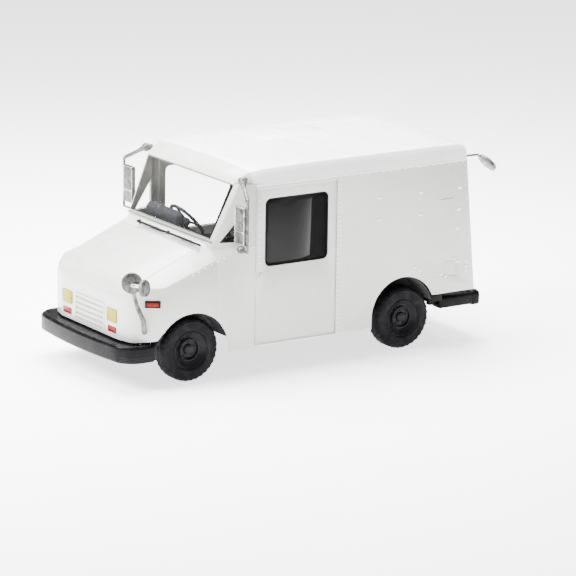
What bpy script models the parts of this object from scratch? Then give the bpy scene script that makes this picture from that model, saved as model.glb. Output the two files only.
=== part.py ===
"""Right-hand-drive mail delivery truck with sliding side doors and a rear roll-up door.

Metres, +Z up. The truck faces -Y and its left side is +X. The origin is on the ground,
under the middle of the vehicle. Stations along the truck are given as "u", the distance
rearward from the front axle, and at(u) turns one into a Y coordinate.
"""
import math

import bmesh
import bpy
from mathutils import Matrix, Vector

# --- driving dimensions -------------------------------------------------------------
FRONT_AXLE_Y = -1.400
WHEELBASE = 2.553
TYRE_RADIUS = 0.325
TYRE_WIDTH = 0.195
WHEEL_CENTRE_X = 0.7515
RIM_RADIUS = 0.190

BODY_HALF = 0.936
SKIN = 0.010
GAP = 0.0004
RAIL_INNER_X = 0.370
RAIL_OUTER_X = 0.430
RAIL_FRONT_U = -0.600
RAIL_REAR_U = 3.330
RAIL_LOW_Z = 0.420
RAIL_TOP_Z = 0.500
CROSS_MEMBER_U = (-0.590, 0.800, 1.550, 2.950, 3.250)
FLOOR_SILL_U = (1.760, 2.480, 3.150)
SILL_HALF = 0.560
SILL_Z = 0.284
RAIL_Z = 1.930
ROOF_Z = 2.130

NOSE_U = -0.670
NOSE_HALF = 0.560
NOSE_TOP_Z = 0.932
NOSE_SIDE_U = -0.623
NOSE_SIDE_HALF = 0.731
NOSE_SIDE_TOP_Z = 0.985
NOSE_BOTTOM_Z = 0.459
CORNER_U = -0.360
HOOD_FRONT_U = -0.585
HOOD_FRONT_Z = 1.025
HOOD_SLOPE = 0.425
HOOD_HALF = 0.690
HOOD_REAR_U = 0.112
COWL_U = 0.2425
FRONT_ARCH_U = -0.035
FRONT_ARCH_Z = 0.297
FRONT_ARCH_R = 0.430

WINDSHIELD_BASE_U = 0.235
WINDSHIELD_LEAN = 0.447
WINDSHIELD_BASE_Z = 1.360
WINDSHIELD_LOW = (0.765, 1.412)
WINDSHIELD_HIGH = (0.812, 1.943)
QUARTER_WINDOW = ((0.330, 1.375), (0.572, 1.375), (0.572, 1.674))
CAB_TOP_Z = 1.955
B_POST_U = 0.690

DOOR_REAR_U = 1.660
DOOR_TOP_Z = 1.900
DOOR_OUTER_X = 0.922
DOOR_THICKNESS = 0.022
DOOR_WINDOW_Z = (1.100, 1.784)
DOOR_WINDOW_REAR_U = 1.553
DOOR_WINDOW_RADIUS = 0.055

REAR_ARCH_U = 2.492
REAR_ARCH_Z = 0.393
REAR_ARCH_R = 0.392
REAR_SKIRT_Z = 0.552
REAR_EDGE_U = 3.371
REAR_EDGE_Z = 0.576
REAR_LEAN = 0.0909

REAR_OPENING_HALF = 0.700
REAR_OPENING_Z = (0.620, 1.780)
SECTION_COUNT = 4
SECTION_STEP = 0.290
SECTION_LAP = 0.015
SECTION_THICKNESS = 0.018
SECTION_PITCH = 0.024

CAB_FLOOR_Z = 0.515
CARGO_FLOOR_Z = 0.590
BULKHEAD_U = 1.700
KINGPIN_X = 0.650
APRON_X = 0.450
DRIVER_X = -0.220

HEADLAMP = (0.440, 0.684, 0.190, 0.130)
BUMPER_HALF = 0.900
BUMPER_FRONT_U = -0.850
BUMPER_END_U = -0.452
BUMPER_Z = (0.275, 0.452)
BUMPER_DEPTH = 0.070
BUMPER_CORNER = 0.240
MIRROR_POST = (1.190, 0.430)
WIPER_U = 0.160
WIPER_LEAN = 0.565
WIPERS = (("right", -0.420, 0.530), ("left", 0.140, 0.620))
GRILLE = ((-0.290, 0.480), (0.290, 0.790))
FUEL_OPENING = ((FRONT_AXLE_Y + 2.985, 0.730), (FRONT_AXLE_Y + 3.145, 0.890))
TAIL_LAMPS = ((-0.820, 0.760), (0.820, 0.760))

# --- collections and materials ------------------------------------------------------
for stale in list(bpy.data.objects):
    bpy.data.objects.remove(stale, do_unlink=True)

PARTS = bpy.data.collections.new("mail_delivery_truck")
CUTTERS = bpy.data.collections.new("cutters")
bpy.context.scene.collection.children.link(PARTS)
bpy.context.scene.collection.children.link(CUTTERS)

FINISHES = {
    "white_paint": ((0.80, 0.81, 0.78), 0.35, 0.0),
    "black_plastic": ((0.025, 0.025, 0.028), 0.35, 0.0),
    "dark_grey": ((0.06, 0.06, 0.065), 0.60, 0.0),
    "frame_black": ((0.03, 0.03, 0.032), 0.55, 0.3),
    "rubber": ((0.020, 0.020, 0.021), 0.75, 0.0),
    "silver": ((0.42, 0.42, 0.41), 0.35, 0.9),
    "engine_metal": ((0.25, 0.25, 0.26), 0.50, 0.8),
    "clear_glass": ((0.85, 0.92, 0.90), 0.05, 0.0),
    "yellow_lens": ((0.80, 0.72, 0.12), 0.20, 0.0),
    "red_lens": ((0.60, 0.12, 0.10), 0.20, 0.0),
    "seat_fabric": ((0.05, 0.05, 0.055), 0.90, 0.0),
}


def at(u):
    """Y coordinate of a station u metres behind the front axle."""
    return FRONT_AXLE_Y + u


def finish(name, finish_name):
    """One Principled material for one node."""
    color, roughness, metallic = FINISHES[finish_name]
    material = bpy.data.materials.new(name)
    material.use_nodes = True
    shader = material.node_tree.nodes["Principled BSDF"]
    shader.inputs["Base Color"].default_value = (*color, 1.0)
    shader.inputs["Roughness"].default_value = roughness
    shader.inputs["Metallic"].default_value = metallic
    return material


def make(name, mesh, finish_name, origin=(0.0, 0.0, 0.0)):
    """Put a mesh built in world coordinates into the truck, with its origin at a point."""
    mesh.name = name
    mesh.transform(Matrix.Translation(-Vector(origin)))
    part = bpy.data.objects.new(name, mesh)
    part.location = origin
    part.data.materials.append(finish(name, finish_name))
    PARTS.objects.link(part)
    return part


def tool(mesh):
    """A hidden object that cuts or joins a part."""
    cutter = bpy.data.objects.new("tool", mesh)
    cutter.hide_render = True
    cutter.display_type = "WIRE"
    CUTTERS.objects.link(cutter)
    return cutter


def boolean(part, operation, *meshes):
    """Apply one Boolean after another to a part, each with a hidden tool object."""
    for mesh in meshes:
        modifier = part.modifiers.new(operation.lower(), "BOOLEAN")
        modifier.operation = operation
        modifier.solver = "EXACT"
        modifier.object = tool(mesh)
    return part


def smooth(part, degrees=35.0):
    """Shade round surfaces smooth and keep real edges sharp."""
    part.data.shade_smooth()
    part.data.set_sharp_from_angle(angle=math.radians(degrees))
    return part


# --- mesh builders, all in world coordinates ----------------------------------------
def from_bmesh(bm):
    """Finish a bmesh into a mesh with its faces pointing out."""
    bmesh.ops.recalc_face_normals(bm, faces=bm.faces)
    mesh = bpy.data.meshes.new("shape")
    bm.to_mesh(mesh)
    bm.free()
    return mesh


def box(low, high, bevel=0.0):
    """A box between two corners, with optional chamfered edges."""
    bm = bmesh.new()
    bmesh.ops.create_cube(bm, size=1.0)
    low, high = Vector(low), Vector(high)
    size = high - low
    bmesh.ops.scale(bm, vec=size, verts=bm.verts)
    bmesh.ops.translate(bm, vec=(low + high) / 2, verts=bm.verts)
    if bevel:
        bmesh.ops.bevel(bm, geom=bm.edges[:], offset=bevel, segments=1, affect="EDGES")
    return from_bmesh(bm)


def rod(start, end, radius, sides=16, end_radius=None):
    """A cylinder or cone between two points."""
    start, end = Vector(start), Vector(end)
    bm = bmesh.new()
    bmesh.ops.create_cone(bm, cap_ends=True, segments=sides, radius1=radius,
                          radius2=radius if end_radius is None else end_radius,
                          depth=(end - start).length)
    turn = Vector((0, 0, 1)).rotation_difference(end - start).to_matrix().to_4x4()
    bmesh.ops.transform(bm, matrix=Matrix.Translation((start + end) / 2) @ turn, verts=bm.verts)
    return from_bmesh(bm)


def evaluated_mesh(guide):
    """The welded mesh of a temporary object, which is then removed."""
    bpy.context.scene.collection.objects.link(guide)
    bpy.context.view_layer.update()
    mesh = bpy.data.meshes.new_from_object(guide.evaluated_get(bpy.context.evaluated_depsgraph_get()))
    bm = bmesh.new()
    bm.from_mesh(mesh)
    bmesh.ops.remove_doubles(bm, verts=bm.verts, dist=0.00005)
    bmesh.ops.transform(bm, matrix=guide.matrix_world, verts=bm.verts)
    bpy.data.objects.remove(guide, do_unlink=True)
    return from_bmesh(bm)


def plate(outlines, plane, low, high):
    """Extrude flat outlines, the first outer and any others holes, between two heights.

    plane is "YZ", "XZ" or "XY", and low and high lie along the axis left out of it.
    """
    curve = bpy.data.curves.new("outline", "CURVE")
    curve.dimensions = "2D"
    curve.fill_mode = "BOTH"
    curve.extrude = (high - low) / 2
    for outline in outlines:
        spline = curve.splines.new("POLY")
        spline.points.add(len(outline) - 1)
        for point, (a, b) in zip(spline.points, outline):
            point.co = (a, b, 0.0, 1.0)
        spline.use_cyclic_u = True
    guide = bpy.data.objects.new("outline", curve)
    middle = (low + high) / 2
    frames = {
        "XY": Matrix.Translation((0, 0, middle)),
        "YZ": Matrix(((0, 0, 1, middle), (1, 0, 0, 0), (0, 1, 0, 0), (0, 0, 0, 1))),
        "XZ": Matrix(((1, 0, 0, 0), (0, 0, -1, middle), (0, 1, 0, 0), (0, 0, 0, 1))),
    }
    guide.matrix_world = frames[plane]
    return evaluated_mesh(guide)


def tube(points, radius, resolution=2):
    """A round tube with closed ends through a list of points."""
    curve = bpy.data.curves.new("tube", "CURVE")
    curve.dimensions = "3D"
    curve.bevel_depth = radius
    curve.bevel_resolution = resolution
    curve.use_fill_caps = True
    spline = curve.splines.new("POLY")
    spline.points.add(len(points) - 1)
    for point, place in zip(spline.points, points):
        point.co = (*place, 1.0)
    return evaluated_mesh(bpy.data.objects.new("tube", curve))


def turned(profile, centre, sides=32):
    """Spin a closed (radius, x) profile about the X direction through a point."""
    bm = bmesh.new()
    corners = [bm.verts.new((x, r, 0.0)) for r, x in profile]
    for corner, following in zip(corners, corners[1:] + corners[:1]):
        bm.edges.new((corner, following))
    bmesh.ops.spin(bm, geom=bm.verts[:] + bm.edges[:], cent=(0, 0, 0), axis=(1, 0, 0),
                   angle=2 * math.pi, steps=sides, use_merge=True)
    bmesh.ops.remove_doubles(bm, verts=bm.verts, dist=0.00005)
    bmesh.ops.translate(bm, vec=Vector(centre), verts=bm.verts)
    return from_bmesh(bm)


def torus(major, minor):
    """A ring about the Z axis."""
    bpy.ops.mesh.primitive_torus_add(major_radius=major, minor_radius=minor,
                                     major_segments=24, minor_segments=6)
    ring = bpy.context.object
    mesh = ring.data.copy()
    bpy.data.objects.remove(ring, do_unlink=True)
    return mesh


def loft(rings):
    """A closed solid through matching rings of points, with flat ends."""
    bm = bmesh.new()
    rows = [[bm.verts.new(point) for point in ring] for ring in rings]
    for row, following in zip(rows, rows[1:]):
        for index in range(len(row)):
            after = (index + 1) % len(row)
            bm.faces.new((row[index], row[after], following[after], following[index]))
    bm.faces.new(rows[0])
    bm.faces.new(rows[-1])
    bmesh.ops.triangulate(bm, faces=[face for face in bm.faces if len(face.verts) == 4])
    return from_bmesh(bm)


def together(*meshes):
    """Several separate solids as one mesh."""
    bm = bmesh.new()
    for mesh in meshes:
        bm.from_mesh(mesh)
    return from_bmesh(bm)


def mirrored(mesh):
    """The same shape on the other side of the truck."""
    bm = bmesh.new()
    bm.from_mesh(mesh)
    bmesh.ops.transform(bm, matrix=Matrix.Scale(-1, 4, (1, 0, 0)), verts=bm.verts)
    return from_bmesh(bm)


def both_sides(mesh):
    """A shape and its mirror image, as two solids."""
    return together(mesh, mirrored(mesh))


def arc(centre, radius, first, last, steps):
    """Points along an arc, with angles in degrees."""
    points = []
    for step in range(steps + 1):
        angle = math.radians(first + (last - first) * step / steps)
        points.append((centre[0] + radius * math.cos(angle), centre[1] + radius * math.sin(angle)))
    return points


def rounded(low, high, radius, steps=3):
    """A rectangle with round corners."""
    left, bottom, right, top = low[0] + radius, low[1] + radius, high[0] - radius, high[1] - radius
    return (arc((right, top), radius, 0, 90, steps) + arc((left, top), radius, 90, 180, steps)
            + arc((left, bottom), radius, 180, 270, steps) + arc((right, bottom), radius, 270, 360, steps))


# --- body shape ---------------------------------------------------------------------
def hood_z(u):
    """Height of the hood's centre line."""
    return HOOD_FRONT_Z + HOOD_SLOPE * (u - HOOD_FRONT_U)


def crease_z(u):
    """Height of the shoulder crease along the fender."""
    return 1.022 + 0.364 * (u + 0.331)


def front_volume(inset, first_u, last_u, bottom, open_rear=False):
    """Solid of the nose, hood and fenders between two stations, drawn in by an inset."""
    stations = [
        (NOSE_U, NOSE_HALF, NOSE_TOP_Z, NOSE_TOP_Z - 0.030),
        (NOSE_SIDE_U, NOSE_SIDE_HALF, NOSE_SIDE_TOP_Z, NOSE_SIDE_TOP_Z - 0.030),
        (HOOD_FRONT_U, NOSE_SIDE_HALF + 0.040, HOOD_FRONT_Z, HOOD_FRONT_Z - 0.045),
        (CORNER_U - 0.110, BODY_HALF - 0.056, hood_z(CORNER_U - 0.110), crease_z(CORNER_U) + 0.008),
        (CORNER_U, BODY_HALF, hood_z(CORNER_U), crease_z(CORNER_U) + 0.008),
        (0.0, BODY_HALF, hood_z(0.0), crease_z(0.0)),
        (COWL_U, BODY_HALF, hood_z(COWL_U), crease_z(COWL_U)),
        (B_POST_U, BODY_HALF, hood_z(COWL_U) + 0.010, crease_z(B_POST_U)),
    ]
    rings = []
    for u, half, top, crease in stations:
        if not first_u - 0.001 <= u <= last_u + 0.001:
            continue
        half_width = half - inset
        shoulder = half_width - 0.022
        flat = min(0.735, shoulder - 0.075)
        right = [(0.0, top - inset), (flat, top - inset - 0.012), (shoulder, crease - inset),
                 (half_width, crease - inset - 0.050), (half_width, bottom)]
        left = [(-x, z) for x, z in reversed(right[1:])]
        station = u + inset if u in (first_u, NOSE_SIDE_U) else u
        if open_rear and u == last_u:
            station = u + 0.05
        rings.append([(x, at(station), z) for x, z in right + left])
    return loft(rings)


def cab_volume(inset, bottom, top):
    """Solid of the cab above the cowl, from the windshield back to the B post."""
    rings = []
    for z in (bottom, top):
        lean = WINDSHIELD_LEAN * (z - WINDSHIELD_BASE_Z)
        narrowing = 0.11 * (z - WINDSHIELD_BASE_Z)
        glass_u = WINDSHIELD_BASE_U + lean + inset * 1.1
        corner_x = 0.775 + narrowing - inset
        back_u = B_POST_U + (0.1 if inset else -GAP)
        right = [(corner_x, glass_u), (corner_x + 0.035, glass_u + 0.025 + inset * 0.2),
                 (0.915 - inset, 0.585 + 0.03 * (z - WINDSHIELD_BASE_Z)),
                 (BODY_HALF - inset, B_POST_U - 0.005), (BODY_HALF - inset, back_u)]
        left = [(-x, u) for x, u in reversed(right)]
        rings.append([(x, at(u), z) for x, u in right + left])
    return loft(rings)


def windshield_outline(grow=0.0):
    """Windshield opening, as a front view."""
    (low_half, low_z), (high_half, high_z) = WINDSHIELD_LOW, WINDSHIELD_HIGH
    return [(-low_half - grow, low_z - grow), (low_half + grow, low_z - grow),
            (high_half + grow, high_z + grow), (-high_half - grow, high_z + grow)]


def quarter_outline(grow=0.0):
    """Front quarter window opening, as a side view."""
    front, rear, top = QUARTER_WINDOW
    return [(at(front[0] - grow * 2.2), front[1] - grow), (at(rear[0] + grow), rear[1] - grow),
            (at(top[0] + grow), top[1] + grow * 2.2)]


def window_cutters(grow=0.0):
    """Solids through the windshield and both quarter windows."""
    front = plate([windshield_outline(grow)], "XZ", at(0.10), at(0.60))
    side = plate([quarter_outline(grow)], "YZ", 0.70, 1.00)
    return [front, side, mirrored(side)]


def side_arch_cutters():
    """Front wheel arch cutters that stop short of the middle of the truck."""
    centre = (at(FRONT_ARCH_U), FRONT_ARCH_Z)
    one = rod((APRON_X - GAP, *centre), (1.2, *centre), FRONT_ARCH_R, sides=40)
    return [one, mirrored(one)]


def rear_u(z):
    """Station of the leaning rear face at a height."""
    return REAR_EDGE_U - (z - REAR_EDGE_Z) * REAR_LEAN


def hood_prism(grow):
    """Upright prism over the hood panel."""
    half = HOOD_HALF + grow
    return box((-half, at(HOOD_FRONT_U + 0.020 - grow), 0.80), (half, at(HOOD_REAR_U + grow), 1.60))


def lamp_outlines(grow=0.0):
    """Headlamp outlines, right then left, as a front view."""
    centre, z, width, height = HEADLAMP
    half_w, half_h = width / 2 + grow, height / 2 + grow
    return [rounded((side * centre - half_w, z - half_h), (side * centre + half_w, z + half_h), 0.010)
            for side in (-1, 1)]


def fenders():
    """Nose and fender shell, open under the hood and at the cowl."""
    part = make("front_fenders", front_volume(0.0, NOSE_U, COWL_U, NOSE_BOTTOM_Z), "white_paint")
    reach = (at(NOSE_U - 0.030), at(NOSE_U + 0.090))
    grille_hole = plate([rounded(*GRILLE, 0.012)], "XZ", *reach)
    lamps = [plate([outline], "XZ", *reach) for outline in lamp_outlines(GAP)]
    low, high, rise = NOSE_BOTTOM_Z - 0.060, NOSE_BOTTOM_Z + 0.0002, 0.041
    skirt = plate([[(at(-0.600), low), (at(CORNER_U), low), (at(CORNER_U), high + rise), (at(-0.600), high)]],
                  "YZ", -1.2, 1.2)
    boolean(part, "DIFFERENCE", front_volume(SKIN, NOSE_U, COWL_U, 0.30, open_rear=True),
            hood_prism(0.003), grille_hole, *lamps, skirt, *side_arch_cutters())
    spindle_u = WIPER_U + 0.006
    spindle_z = hood_z(spindle_u)
    spindles = [rod((x, at(spindle_u), spindle_z - 0.015), (x, at(spindle_u), spindle_z), 0.012, 10)
                for _, x, _ in WIPERS]
    return boolean(part, "UNION", *spindles)


def hood():
    """Hood panel, hinged along its rear edge at the cowl."""
    hinge = (0.0, at(HOOD_REAR_U), hood_z(HOOD_REAR_U) + 0.001)
    part = make("hood", front_volume(0.0, NOSE_U, COWL_U, NOSE_BOTTOM_Z), "white_paint", origin=hinge)
    boolean(part, "DIFFERENCE", front_volume(SKIN, NOSE_U, COWL_U, 0.30, open_rear=True))
    return boolean(part, "INTERSECT", hood_prism(0.0))


def cab_front():
    """Cowl sides, firewall, windshield pillars and header as one welded piece."""
    lower = front_volume(0.0, COWL_U, B_POST_U, SILL_Z)
    lower.transform(Matrix.Translation((0, GAP, 0)))
    part = make("cab_front", lower, "white_paint")
    trim_rear = box((-1.2, at(B_POST_U - GAP), 0.0), (1.2, at(B_POST_U + 0.1), 2.2))
    boolean(part, "UNION", cab_volume(0.0, 1.250, CAB_TOP_Z))
    cowl_clear = box((-1.2, at(0.0), 1.0), (1.2, at(COWL_U + GAP), hood_z(COWL_U) + GAP))
    tunnel = box((-0.445, at(0.20), 0.20), (0.445, at(0.30), CAB_FLOOR_Z - 0.015))
    return boolean(part, "DIFFERENCE", trim_rear, cowl_clear,
                   front_volume(SKIN + 0.002, COWL_U, B_POST_U, 0.10, open_rear=True),
                   cab_volume(SKIN + 0.002, 1.200, CAB_TOP_Z + 0.1), *window_cutters(), tunnel,
                   *side_arch_cutters())


def cab_glass():
    """Windshield and quarter windows, each cut to its opening from one thin shell."""
    panes = zip(("windshield", "quarter_window_left", "quarter_window_right"), window_cutters(-0.001))
    for name, cutter in panes:
        part = make(name, cab_volume(0.003, 1.350, 1.950), "clear_glass")
        boolean(part, "DIFFERENCE", cab_volume(0.008, 1.200, 2.100))
        boolean(part, "INTERSECT", cutter)


def roof_volume(inset):
    """Solid of the crowned roof from the brow to the rear edge, drawn in by an inset."""
    stations = [
        (0.485, 0.830, 1.972), (0.545, 0.870, 2.030), (0.660, 0.915, 2.095), (0.800, BODY_HALF, 2.118),
        (1.300, BODY_HALF, ROOF_Z), (2.900, BODY_HALF, ROOF_Z), (3.150, BODY_HALF, 2.122),
        (rear_u(RAIL_Z) - 0.002, BODY_HALF, 2.095),
    ]
    bottom = RAIL_Z + 2 * GAP - (0.2 if inset else 0.0)
    rings = []
    for u, half, top in stations:
        half_width = half - inset
        edge = (top - bottom) if not inset else (top - RAIL_Z)
        base = bottom if not inset else RAIL_Z
        right = [(0.0, top - inset), (half_width * 0.66, top - inset - 0.010),
                 (half_width - 0.050, base + edge * 0.84 - inset), (half_width - 0.012, base + edge * 0.55),
                 (half_width, base + edge * 0.10), (half_width, bottom)]
        left = [(-x, z) for x, z in reversed(right[1:])]
        station = u
        if inset:
            station = u + inset if u < 1.0 else min(u, rear_u(RAIL_Z) - inset)
        rings.append([(x, at(station), z) for x, z in right + left])
    return loft(rings)


def roof():
    """Roof shell with its front brow and rear wall."""
    part = make("roof", roof_volume(0.0), "white_paint")
    over_cab = box((-1.2, at(0.40), 1.80), (1.2, at(B_POST_U + GAP), CAB_TOP_Z + GAP))
    return boolean(part, "DIFFERENCE", roof_volume(SKIN), over_cab)


def body_side(side):
    """Cargo body side with the door opening, the rear arch and the fuel filler opening."""
    start = math.degrees(math.asin((REAR_SKIRT_Z - REAR_ARCH_Z) / REAR_ARCH_R))
    arch = arc((at(REAR_ARCH_U), REAR_ARCH_Z), REAR_ARCH_R, start, 180, 18)
    outline = [(at(B_POST_U), RAIL_Z), (at(B_POST_U), DOOR_TOP_Z), (at(DOOR_REAR_U), DOOR_TOP_Z),
               (at(DOOR_REAR_U), SILL_Z), (at(REAR_ARCH_U - REAR_ARCH_R), SILL_Z)]
    outline += list(reversed(arch)) + [(at(rear_u(REAR_SKIRT_Z)), REAR_SKIRT_Z), (at(rear_u(RAIL_Z)), RAIL_Z)]
    holes = [rounded(*FUEL_OPENING, 0.015)] if side > 0 else []
    low, high = sorted((side * (BODY_HALF - SKIN), side * BODY_HALF))
    name = "body_side_left" if side > 0 else "body_side_right"
    return make(name, plate([outline] + holes, "YZ", low, high), "white_paint")


def rear_frame():
    """Leaning rear wall with the cargo opening and the lamp openings."""
    half = BODY_HALF - SKIN - GAP
    outlines = [
        [(-half, 0.580), (half, 0.580), (half, RAIL_Z), (-half, RAIL_Z)],
        [(-REAR_OPENING_HALF, REAR_OPENING_Z[0]), (REAR_OPENING_HALF, REAR_OPENING_Z[0]),
         (REAR_OPENING_HALF, REAR_OPENING_Z[1]), (-REAR_OPENING_HALF, REAR_OPENING_Z[1])],
    ]
    for x, z in TAIL_LAMPS:
        outlines.append(rounded((x - 0.045, z - 0.09), (x + 0.045, z + 0.09), 0.02))
    return make("rear_frame", lean(plate(outlines, "XZ", at(-0.030), at(0.0))), "white_paint")


def lean(mesh):
    """Shear a mesh built at station zero on to the leaning rear face."""
    shear = Matrix.Identity(4)
    shear[1][2] = -REAR_LEAN
    shear[1][3] = REAR_EDGE_U + REAR_EDGE_Z * REAR_LEAN
    mesh.transform(shear)
    return mesh


# --- doors --------------------------------------------------------------------------
def door_side(side):
    """Sliding door panel and its window on one side."""
    suffix = "left" if side > 0 else "right"
    front, back, low_z, top_z = at(B_POST_U - 0.010), at(DOOR_REAR_U + 0.040), SILL_Z + 0.002, RAIL_Z - 0.005
    panel = [(front, low_z), (back, low_z), (back, top_z), (front, top_z)]
    low, high = sorted((side * (DOOR_OUTER_X - DOOR_THICKNESS), side * DOOR_OUTER_X))
    window_front = 0.815 if side > 0 else 0.755
    (window_low, window_top), edge = DOOR_WINDOW_Z, GAP + 0.0001
    window = ((at(window_front), window_low), (at(DOOR_WINDOW_REAR_U), window_top))
    glass = ((at(window_front + edge), window_low + edge), (at(DOOR_WINDOW_REAR_U - edge), window_top - edge))
    origin = (side * DOOR_OUTER_X, at(1.165), 1.100)
    shape = plate([panel, rounded(*window, DOOR_WINDOW_RADIUS, 4)], "YZ", low, high)
    make("door_" + suffix, shape, "white_paint", origin)
    low, high = sorted((side * (DOOR_OUTER_X - 0.014), side * (DOOR_OUTER_X - 0.008)))
    shape = plate([rounded(*glass, DOOR_WINDOW_RADIUS - edge, 4)], "YZ", low, high)
    make("door_glass_" + suffix, shape, "clear_glass", origin)


def rear_sections():
    """Lapped slat sections of the rear roll-up door, numbered from the bottom."""
    for index in range(SECTION_COUNT):
        front = -0.034 - SECTION_PITCH * index - SECTION_THICKNESS
        bottom = REAR_OPENING_Z[0] + 0.004 + SECTION_STEP * index - (SECTION_LAP if index else 0.0)
        top = REAR_OPENING_Z[0] + SECTION_STEP * (index + 1) + SECTION_LAP
        half = REAR_OPENING_HALF + 0.030
        panel = lean(box((-half, at(front), bottom), (half, at(front + SECTION_THICKNESS), top)))
        middle = (bottom + top) / 2
        origin = (0.0, at(rear_u(middle) + front), middle)
        make(f"rear_door_section_{index + 1}", panel, "white_paint", origin)


def fuel_flap():
    """Fuel filler flap, hinged along its front edge."""
    (front, bottom), (back, top) = FUEL_OPENING
    outline = rounded((front + 0.001, bottom + 0.001), (back - 0.001, top - 0.001), 0.014)
    flap = plate([outline], "YZ", BODY_HALF - 0.008, BODY_HALF - 0.002)
    make("fuel_flap", flap, "white_paint", (BODY_HALF, front, (bottom + top) / 2))


# --- lamps, grille, bumpers ---------------------------------------------------------
def lamps():
    """Headlamps in the nose and tail lamps in the rear wall."""
    for suffix, outline in zip(("right", "left"), lamp_outlines()):
        lens = plate([outline], "XZ", at(NOSE_U - 0.010), at(NOSE_U + 0.030))
        make("headlight_" + suffix, lens, "yellow_lens")
    for suffix, (x, z) in zip(("right", "left"), TAIL_LAMPS):
        outline = rounded((x - 0.0445, z - 0.0895), (x + 0.0445, z + 0.0895), 0.0195)
        make("tail_light_" + suffix, lean(plate([outline], "XZ", at(-0.025), at(0.008))), "red_lens")


def grille():
    """Grille surround with level louvres."""
    (left, bottom), (right, top) = GRILLE
    inner = ((left + 0.018, bottom + 0.018), (right - 0.018, top - 0.018))
    outer = ((left + GAP, bottom + GAP), (right - GAP, top - GAP))
    frame = plate([rounded(*outer, 0.0115), rounded(*inner, 0.004)],
                  "XZ", at(NOSE_U - 0.004), at(NOSE_U + 0.020))
    part = make("grille", frame, "white_paint")
    louvres = 5
    pitch = (inner[1][1] - inner[0][1]) / louvres
    for index in range(louvres):
        low = inner[0][1] + pitch * index + pitch * 0.18
        front, back = at(NOSE_U + 0.001), at(NOSE_U + 0.014)
        blade = box((left + 0.010, front, low), (right - 0.010, back, low + pitch * 0.64))
        boolean(part, "UNION", blade)


def bumper_edge(inset):
    """Plan line of the front bumper from its right end round to its left end."""
    outer, corner = BUMPER_HALF - inset, BUMPER_CORNER - inset
    nose = BUMPER_FRONT_U + 0.035
    centre = (BUMPER_HALF - BUMPER_CORNER, at(nose + BUMPER_CORNER))
    left = [(0.0, at(BUMPER_FRONT_U + inset))] + arc(centre, corner, -70, 0, 5) + [(outer, at(BUMPER_END_U))]
    return [(-x, y) for x, y in reversed(left[1:])] + left


def bumpers():
    """Wrap-around front bumper with its top plate, and the rear bumper with its side steps."""
    band = bumper_edge(0.0) + list(reversed(bumper_edge(BUMPER_DEPTH)))
    part = make("front_bumper", plate([band], "XY", *BUMPER_Z), "black_plastic")
    inner_x, under_nose_u = BUMPER_HALF - 0.105, NOSE_U + 0.058
    rear_y = at(under_nose_u)
    top = bumper_edge(0.012) + [(inner_x, at(BUMPER_END_U)), (0.700, rear_y), (-0.700, rear_y),
                                (-inner_x, at(BUMPER_END_U))]
    boolean(part, "UNION", plate([top], "XY", BUMPER_Z[1] - 0.028, BUMPER_Z[1] - 0.012))
    beam = box((-0.860, at(3.400), 0.350), (0.860, at(3.520), 0.500), 0.014)
    part = make("rear_bumper", beam, "black_plastic")
    step = box((0.700, at(3.000), 0.362), (0.856, at(3.420), 0.486), 0.012)
    link = box((0.740, at(2.905), 0.400), (0.800, at(3.020), 0.455))
    boolean(part, "UNION", both_sides(step), both_sides(link))


# --- chassis, running gear and driveline --------------------------------------------
def chassis():
    """Ladder frame with its axle beam, bumper brackets and front wheelhouse aprons."""
    inner, outer = RAIL_INNER_X, RAIL_OUTER_X
    front, back = at(RAIL_FRONT_U), at(RAIL_REAR_U)
    part = make("chassis_frame", box((inner, front, RAIL_LOW_Z), (outer, back, RAIL_TOP_Z)), "frame_black")
    right = box((-outer, front, RAIL_LOW_Z), (-inner, back, RAIL_TOP_Z))
    reach, step = inner + 0.010, 0.002
    members = [box((-reach, at(u), RAIL_LOW_Z + step), (reach, at(u + 0.070), RAIL_TOP_Z - step))
               for u in CROSS_MEMBER_U]
    sill_top = CARGO_FLOOR_Z - 0.0154
    sills = [box((-SILL_HALF, at(u), RAIL_TOP_Z - 0.0015), (SILL_HALF, at(u + 0.060), sill_top))
             for u in FLOOR_SILL_U]
    beam = box((-0.600, at(-0.025), 0.265), (0.600, at(0.025), 0.345))
    eyes = [both_sides(box((0.590, at(-0.025), low), (0.6275, at(0.025), high)))
            for low, high in ((0.265, 0.2835), (0.3175, 0.345))]
    posts = both_sides(box((0.375, at(-0.035), 0.335), (0.425, at(0.035), 0.430)))
    front_brackets = both_sides(together(box((0.380, at(-0.742), 0.340), (0.420, at(-0.450), 0.4235)),
                                         box((0.385, at(-0.590), 0.410), (0.415, at(-0.460), 0.430))))
    rear_brackets = both_sides(box((0.380, at(3.230), 0.430), (0.420, at(3.399), 0.480)))
    boolean(part, "UNION", right, *members, *sills, beam, *eyes, posts, front_brackets, rear_brackets)
    solid, bore = wheelhouse(FRONT_ARCH_U, FRONT_ARCH_Z, FRONT_ARCH_R, APRON_X, BODY_HALF - SKIN - 0.003, 20)
    boolean(part, "UNION", both_sides(solid))
    boolean(part, "DIFFERENCE", both_sides(bore))
    brackets = both_sides(box((0.425, at(-0.200), 0.436), (APRON_X + 0.004, at(0.200), 0.490)))
    return boolean(part, "UNION", brackets)


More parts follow.
